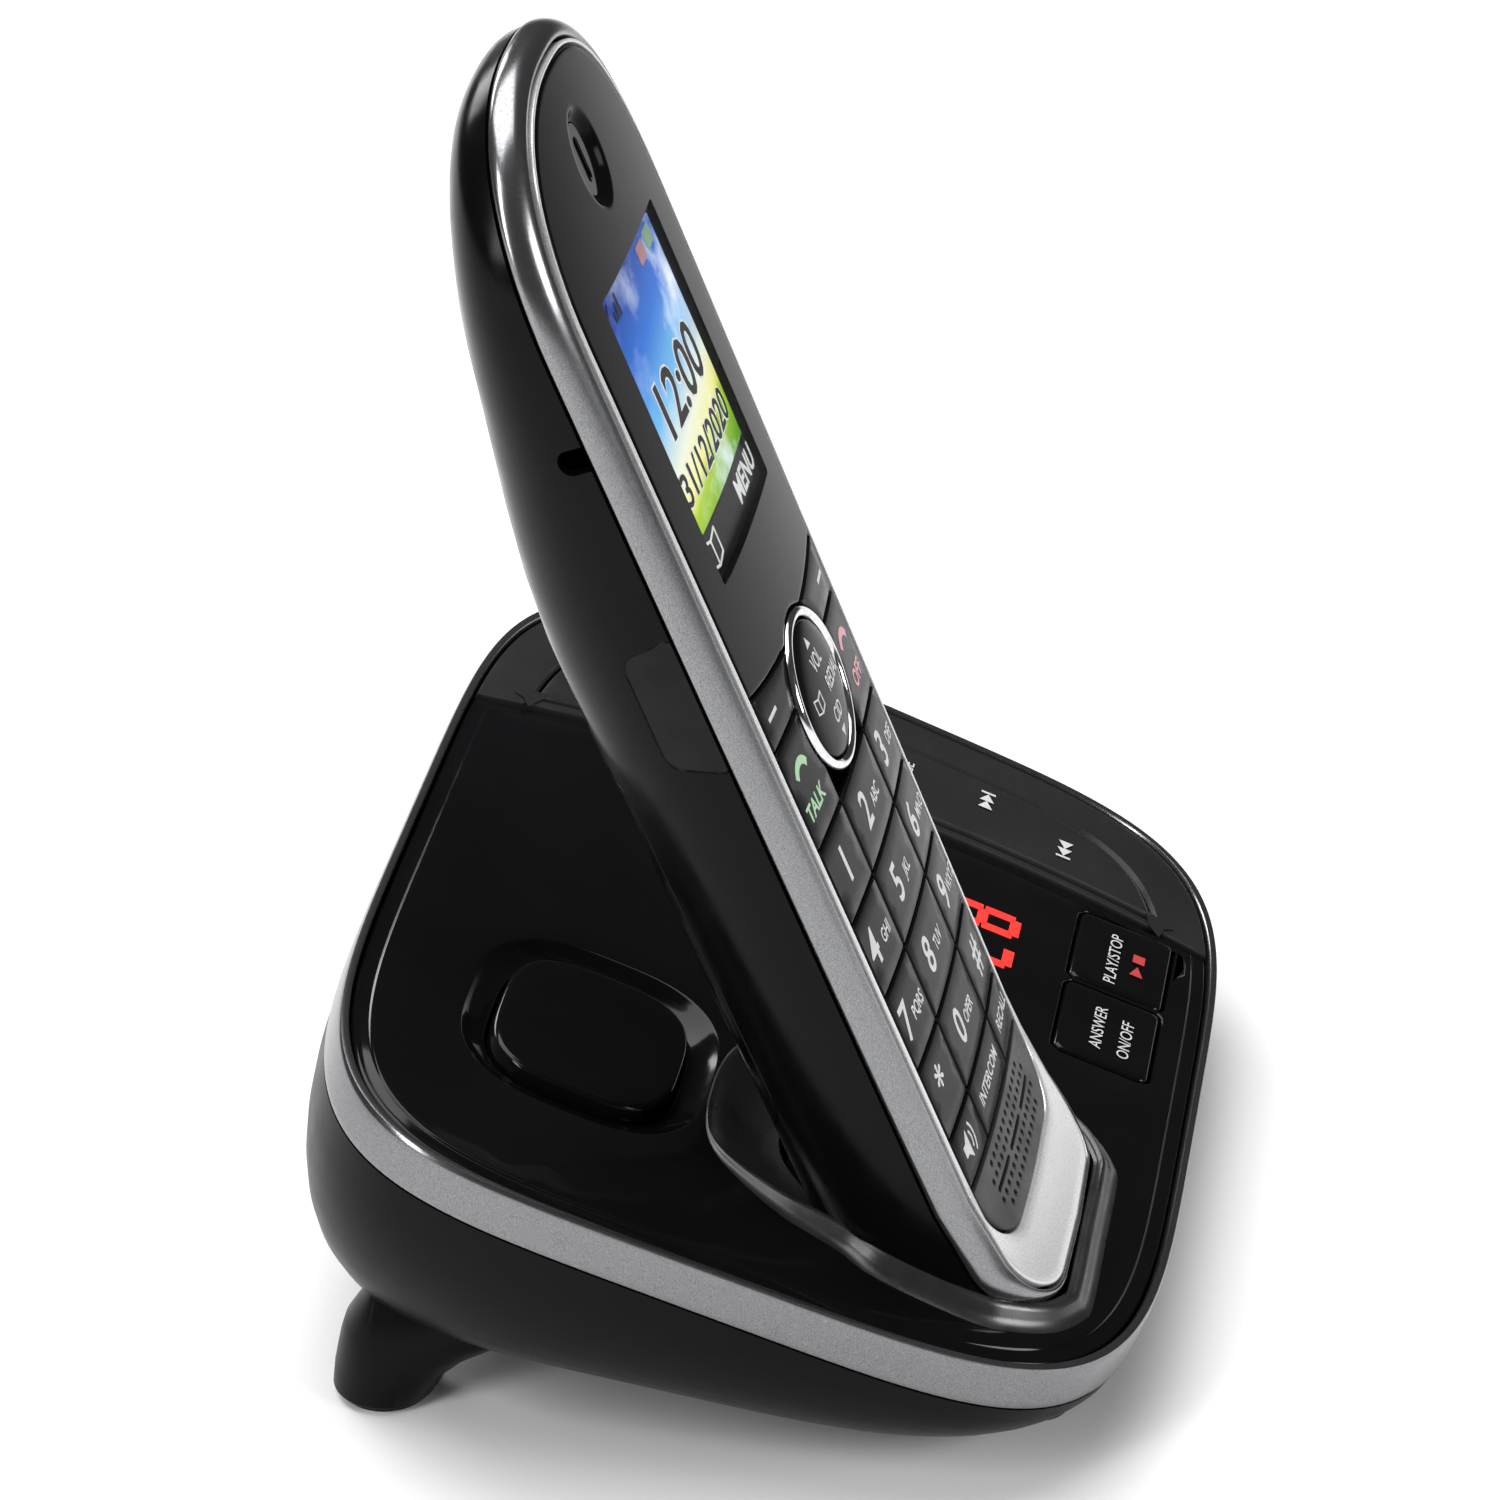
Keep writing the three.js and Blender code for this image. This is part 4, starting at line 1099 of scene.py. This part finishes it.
def handset_rim():
    """The half-round silver frame round the face, and the thin bright trim inside it."""
    sections = [(0.35, 0.35, SEAM_Z), (0.12, 0.12, SEAM_Z + 0.25)]
    for a in np.linspace(0.05, math.pi / 2, 11):
        inset = 2.3 * (1 - math.cos(a))
        sections.append((inset, inset / 3, SEAM_Z + 0.5 + 3.0 * math.sin(a)))
    sections += [(2.5, 0.85, -0.35), (2.6, 0.95, -0.7), (2.6, 0.95, SEAM_Z)]
    shape = Shape()
    shape.loft([on_face(handset_outline(s, s, b), z) for s, b, z in sections], around=True)
    make("handset_front_frame", shape, HANDSET, "handset", SILVER, ["handset_front_frame"],
         sharp=50)
    outer = handset_outline(2.95, 2.95, 1.25)
    inner = handset_outline(FACE_INSET - GAP, FACE_INSET - GAP, FACE_BOTTOM - BOTTOM - GAP)
    rings = [on_face(outer, -1.8), on_face(outer, -0.3)]
    for t, z in ((0.02, -0.08), (0.06, 0.02), (0.2, 0.05), (0.4, 0.06), (0.6, 0.06), (0.8, 0.05),
                 (0.94, 0.02), (0.98, -0.06), (1, -0.2)):
        rings.append(on_face(outer * (1 - t) + inner * t, z))
    rings.append(on_face(inner, -1.8))
    shape = Shape()
    shape.loft(rings, around=True)
    make("handset_face_trim", shape, HANDSET, "handset", BRIGHT, ["handset_face_trim"],
         sharp=50)


SCREEN = (-14, 96.2, 14, 131.4)
SCREEN_INK, NAV_INK = 0.05, 0.05        # heights of the figures there


def handset_face():
    loop = clip_y(face_loop(0), 60, 200)
    top = [p for p in loop if p[1] > smile(p[0]) + 0.01]
    start = max(range(len(top)), key=lambda i: np.linalg.norm(np.array(top[i]) - top[i - 1]))
    top = top[start:] + top[:start]
    half = keypad_half(smile(21)) + 0.1
    low = [(x, max(smile(x), nav_edge(x))) for x in np.linspace(-half, half, 60)]
    outer = np.array(low + top)
    window = densified(rounded(rectangle(*SCREEN), 0.6, 4), 3)
    ear = ellipse(0, EAR_Y, 3.2, 4.4, 40)
    dish = [(0, 0.95), (0.2, 0.9), (0.5, 0.72), (0.8, 0.46), (1.1, 0.2), (1.3, 0.06), (1.45, 0), (1.9, 0),
            (2.6, 0), (3.4, 0)]
    edge = FACE_EDGE + [(0.8, 0)]
    make("handset_lens", plate(outer, [(window, [(0, 0.3), (0.02, 0)]), (ear, dish)], 1.3, edge,
                               height=face_height, spacing=2.2), HANDSET, "handset", FACE,
         ["handset_lens"])
    slot = densified(rounded(rectangle(-0.75, EAR_Y - 2.6, 0.75, EAR_Y + 2.6), 0.74, 6), 1)
    make("ear_plate", plate(ellipse(0, EAR_Y, 3.1, 4.3, 40), [(slot, [(0, 0.2), (0.1, 0)])], 0.4,
                            [(0, 0.1), (0.1, 0)], height=lambda x, y: -0.9, spacing=1), HANDSET,
         "handset", GLOSS)
    make("ear_mesh", plate(ellipse(0, EAR_Y, 3.0, 4.2, 32), [], 0.3, SHEET_EDGE,
                           height=lambda x, y: -1.35, spacing=1), HANDSET, "handset", GREY)
    pane = grown(window, -0.06)
    make("screen_window", plate(pane, [], 0.5, SHEET_EDGE, height=face_height, spacing=2.5),
         HANDSET, "handset", clear_glass())

    def deep(x, y):
        return face_height(x, y) - 1.2

    make("screen_picture", plate(grown(window, 0.5), [], 0.3, SHEET_EDGE, height=deep, spacing=3),
         HANDSET, "handset", screen_picture(SCREEN[1], SCREEN[3]))
    screen_marks(deep)


def screen_marks(height):
    x0, y0, x1, _ = SCREEN

    def lifted(x, y):
        return height(x, y) + SCREEN_INK

    bar = densified(np.array(rectangle(x0, y0, x1, y0 + 5.4), float), 1.5)
    make("screen_softkey_bar", plate(bar, [], 0.2, [(0, 0)], height=lifted, spacing=2), HANDSET, "handset",
         SCREEN_BLACK)
    for name, material, bold, lift in (("screen_outline", SCREEN_WHITE, 0.36, 0.05),
                                       ("screen_figures", SCREEN_BLACK, 0.1, 0.1)):
        shape = Shape()
        word(shape, "12:00", (0.6, 114.6), 9.4, height, bold=bold, lift=lift)
        word(shape, "31/12/2020", (0.4, 106.6), 5.3, height, bold=bold * 0.7, lift=lift)
        make(name, shape, HANDSET, "handset", material)
    shape = Shape()
    word(shape, "MENU", (8.6, 98.9), 4.0, height, bold=0.08, lift=0.09)
    for side in (-1, 1):
        x = -10.2
        page = [(x, 97.2), (x + side * 2.3, 97.8), (x + side * 2.3, 100.8), (x, 100.2)]
        stroke(shape, page, 0.35, height=height, lift=0.09, closed=True)
    make("screen_softkey_words", shape, HANDSET, "handset", SCREEN_WHITE)
    shape = Shape()
    for i, top in enumerate((1.2, 1.9, 2.6)):
        figure(shape, rectangle(-9.6 + i, 127.2, -9 + i, 127.2 + top), height=height, lift=SCREEN_INK)
    stroke(shape, [(-12.4, 129.8), (-11.4, 128.6), (-10.4, 129.8)], 0.4, height=height, lift=SCREEN_INK)
    stroke(shape, [(-11.4, 128.8), (-11.4, 127.2)], 0.4, height=height, lift=SCREEN_INK)
    make("screen_signal", shape, HANDSET, "handset", SCREEN_BLACK)
    for name, x, material in (("screen_message", 6.2, PINK_INK), ("screen_battery", 10.6, GREEN_INK)):
        shape = Shape()
        figure(shape, rectangle(x - 1.7, 127.4, x + 1.4, 129.6), height=height, lift=SCREEN_INK)
        make(name, shape, HANDSET, "handset", material)


KEYS_GRID = [
    ["speakerphone_key", "intercom_key", "recall_key"],
    ["key_star", "key_0", "key_hash"],
    ["key_7", "key_8", "key_9"],
    ["key_4", "key_5", "key_6"],
    ["key_1", "key_2", "key_3"],
]
KEY_MARKS = {"key_1": ("1", ""), "key_2": ("2", "ABC"), "key_3": ("3", "DEF"), "key_4": ("4", "GHI"),
             "key_5": ("5", "JKL"), "key_6": ("6", "MNO"), "key_7": ("7", "PQRS"), "key_8": ("8", "TUV"),
             "key_9": ("9", "WXYZ"), "key_star": ("*", ""), "key_0": ("0", "OPER"), "key_hash": ("#", "")}


def handset_key(name, column, low, high):
    edge = [(0, 0.6), (0.05, 0.25), (0.14, 0.08), (0.3, 0)]
    shape = plate(key_loop(column, low, high), [], 1.9, edge, height=face_height, spacing=2)
    make(name, shape, HANDSET, name + "_body", KEYS, [name], sharp=60)


def handset_keys():
    for r, row in enumerate(KEYS_GRID):
        low, high = KEY_ROWS[r], KEY_ROWS[r + 1]
        for c, name in enumerate(row):
            column = c - 1
            handset_key(name, column, low, high)
            x, y = column * 14.2, (low + high) / 2
            shape = Shape()
            if name in KEY_MARKS:
                digit, small = KEY_MARKS[name]
                word(shape, digit, (x - (2.2 if small else 0), y), 6.2, face_height, bold=0.08)
                if small:
                    word(shape, small, (x + 2.6, y - 0.6), 2.4, face_height, bold=0.03, stretch=(0.8, 1))
            elif name == "speakerphone_key":
                figure(shape, [(x - 2, y - 0.7), (x - 1, y - 0.7), (x + 0.3, y - 1.8), (x + 0.3, y + 1.8),
                               (x - 1, y + 0.7), (x - 2, y + 0.7)], height=face_height)
                stroke(shape, arc_path(x, y, 1.5, -40, 40, 6), 0.35, height=face_height)
                stroke(shape, arc_path(x, y, 2.5, -45, 45, 8), 0.35, height=face_height)
            else:
                label = "INTERCOM" if name == "intercom_key" else "RECALL"
                word(shape, label, (x, y), 2.3, face_height, bold=0.03)
            make(name + "_legend", shape, HANDSET, name + "_body", WHITE_INK)
    for column, call, soft in ((-1, "talk_key", "softkey_left"), (1, "off_key", "softkey_right")):
        handset_key(call, column, KEY_ROWS[5], SOFTKEY_SPLIT)
        handset_key(soft, column, SOFTKEY_SPLIT, SOFTKEY_TOP)
    for side, name, text, material in ((-1, "talk_key", "TALK", GREEN_INK), (1, "off_key", "OFF", PINK_INK)):
        shape = Shape()
        word(shape, text, (side * 15, 68.6), 2.8, face_height, bold=0.06)
        stroke(shape, arc_path(side * 15, 71.6, 2.4, 35, 145, 10), 1.0, height=face_height)
        make(name + "_legend", shape, HANDSET, name + "_body", material)
    for side, name in ((-1, "softkey_left"), (1, "softkey_right")):
        shape = Shape()
        stroke(shape, [(side * 16.2 - 1.5, 81), (side * 16.2 + 1.5, 81)], 0.5, height=face_height)
        make(name + "_legend", shape, HANDSET, name + "_body", WHITE_INK)


def turned(profile, y, count, closed=False):
    """A form turned about an axis square to the face, from (radius, height) pairs."""
    shape = Shape()
    shape.loft([[(r * c, y + r * s, z) for c, s in ellipse(0, 0, 1, 1, count)] for r, z in profile],
               around=closed)
    return shape


def handset_navigation():
    profile = [(NAV_HOLE, -2.2), (NAV_RING, -2.2), (NAV_RING, -0.25), (9.55, 0), (9.4, 0.25), (9.15, 0.42),
               (8.9, 0.45), (8.65, 0.38), (8.45, 0.2), (NAV_HOLE, -0.05)]
    ring = turned(profile, NAV_Y, 72, closed=True)
    make("nav_ring", ring, HANDSET, "handset", CHROME, ["nav_ring"])
    top = [(NAV_BUTTON, -1.9), (NAV_BUTTON, -0.1), (7.9, 0.1), (7.6, 0.26), (6.6, 0.5), (5.2, 0.68),
           (3.6, 0.79), (1.8, 0.86), (0.4, 0.88)]
    make("nav_button", turned(top, NAV_Y, 64), HANDSET, "nav_button_body", KEYS, ["nav_button"])

    def dome(x, y):
        return 0.88 - 0.0095 * (x * x + (y - NAV_Y) ** 2)

    shape = Shape()
    for text, x, y in (("VOL", 0, 78.4), ("CID", 0, 71.6), ("REDIAL", 3.1, 75)):
        word(shape, text, (x, y), 2.7, dome, bold=0.03, stretch=(0.72, 1), lift=NAV_INK)
    figure(shape, [(-0.8, 80.3), (0.8, 80.3), (0, 81.5)], height=dome, lift=NAV_INK)
    figure(shape, [(-0.8, 69.7), (0, 68.5), (0.8, 69.7)], height=dome, lift=NAV_INK)
    figure(shape, [(6.5, 74.3), (7.5, 75), (6.5, 75.7)], height=dome, lift=NAV_INK)
    for side in (-1, 1):
        page = [(-4.4, 74), (-4.4 + side * 1.3, 74.4), (-4.4 + side * 1.3, 76.1), (-4.4, 75.7)]
        stroke(shape, page, 0.22, height=dome, lift=NAV_INK, closed=True)
    make("nav_legend", shape, HANDSET, "nav_button_body", WHITE_INK)


def handset_microphone_panel():
    loop = clip_y(face_loop(0.05), 0, KEY_ROWS[0] - GAP)
    holes = []
    for row, count in ((10.4, 13), (11.9, 15), (14.5, 15), (16.0, 13)):
        for i in range(count):
            x = (i - (count - 1) / 2) * 1.75
            holes.append((ellipse(x, row, 0.4, 0.4, 10), HOLE_EDGE))
    for x in (-8.6, 0, 8.6):
        slot = rounded(rectangle(x - 3.6, 12.95, x + 3.6, 13.45), 0.24, 3)
        holes.append((densified(slot, 1.5), HOLE_EDGE))
    panel = plate(densified(loop, 2), holes, 1.3, FACE_EDGE, height=face_height, spacing=1.4)
    make("handset_mic_panel", panel, HANDSET, "handset", GREY, ["handset_mic_panel"])


def inner_parts():
    """The pieces inside keep their packed form and get finishes of their own."""
    finishes = {
        RUBBER: ["keypad_mat"],
        BOARD: ["handset_pcb", "base_pcb", "display_module"],
        CONE: ["earpiece_speaker", "ringer_speaker", "base_speaker"],
        STEEL: ["microphone", "base_screw_1", "base_screw_2"],
        CELL: ["battery_cell_1", "battery_cell_2"],
        CONTACT: ["handset_contact_left", "handset_contact_right", "base_contact_left",
                  "base_contact_right"],
        SATIN: ["headset_socket", "dc_jack", "line_jack", "counter_display"],
    }
    for material, names in finishes.items():
        for name in names:
            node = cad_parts[name]
            if not node.material_slots:
                node.data.materials.append(None)
            for holder in node.material_slots:
                holder.link = "OBJECT"
                holder.material = material


make_camera()
make_studio()
base_panel()
base_collar()
base_buttons()
base_digits()
base_legends()
base_rim()
base_housing()
base_feet()
base_jack_details()
handset_shell()
handset_rim()
handset_face()
handset_keys()
handset_navigation()
handset_microphone_panel()
inner_parts()
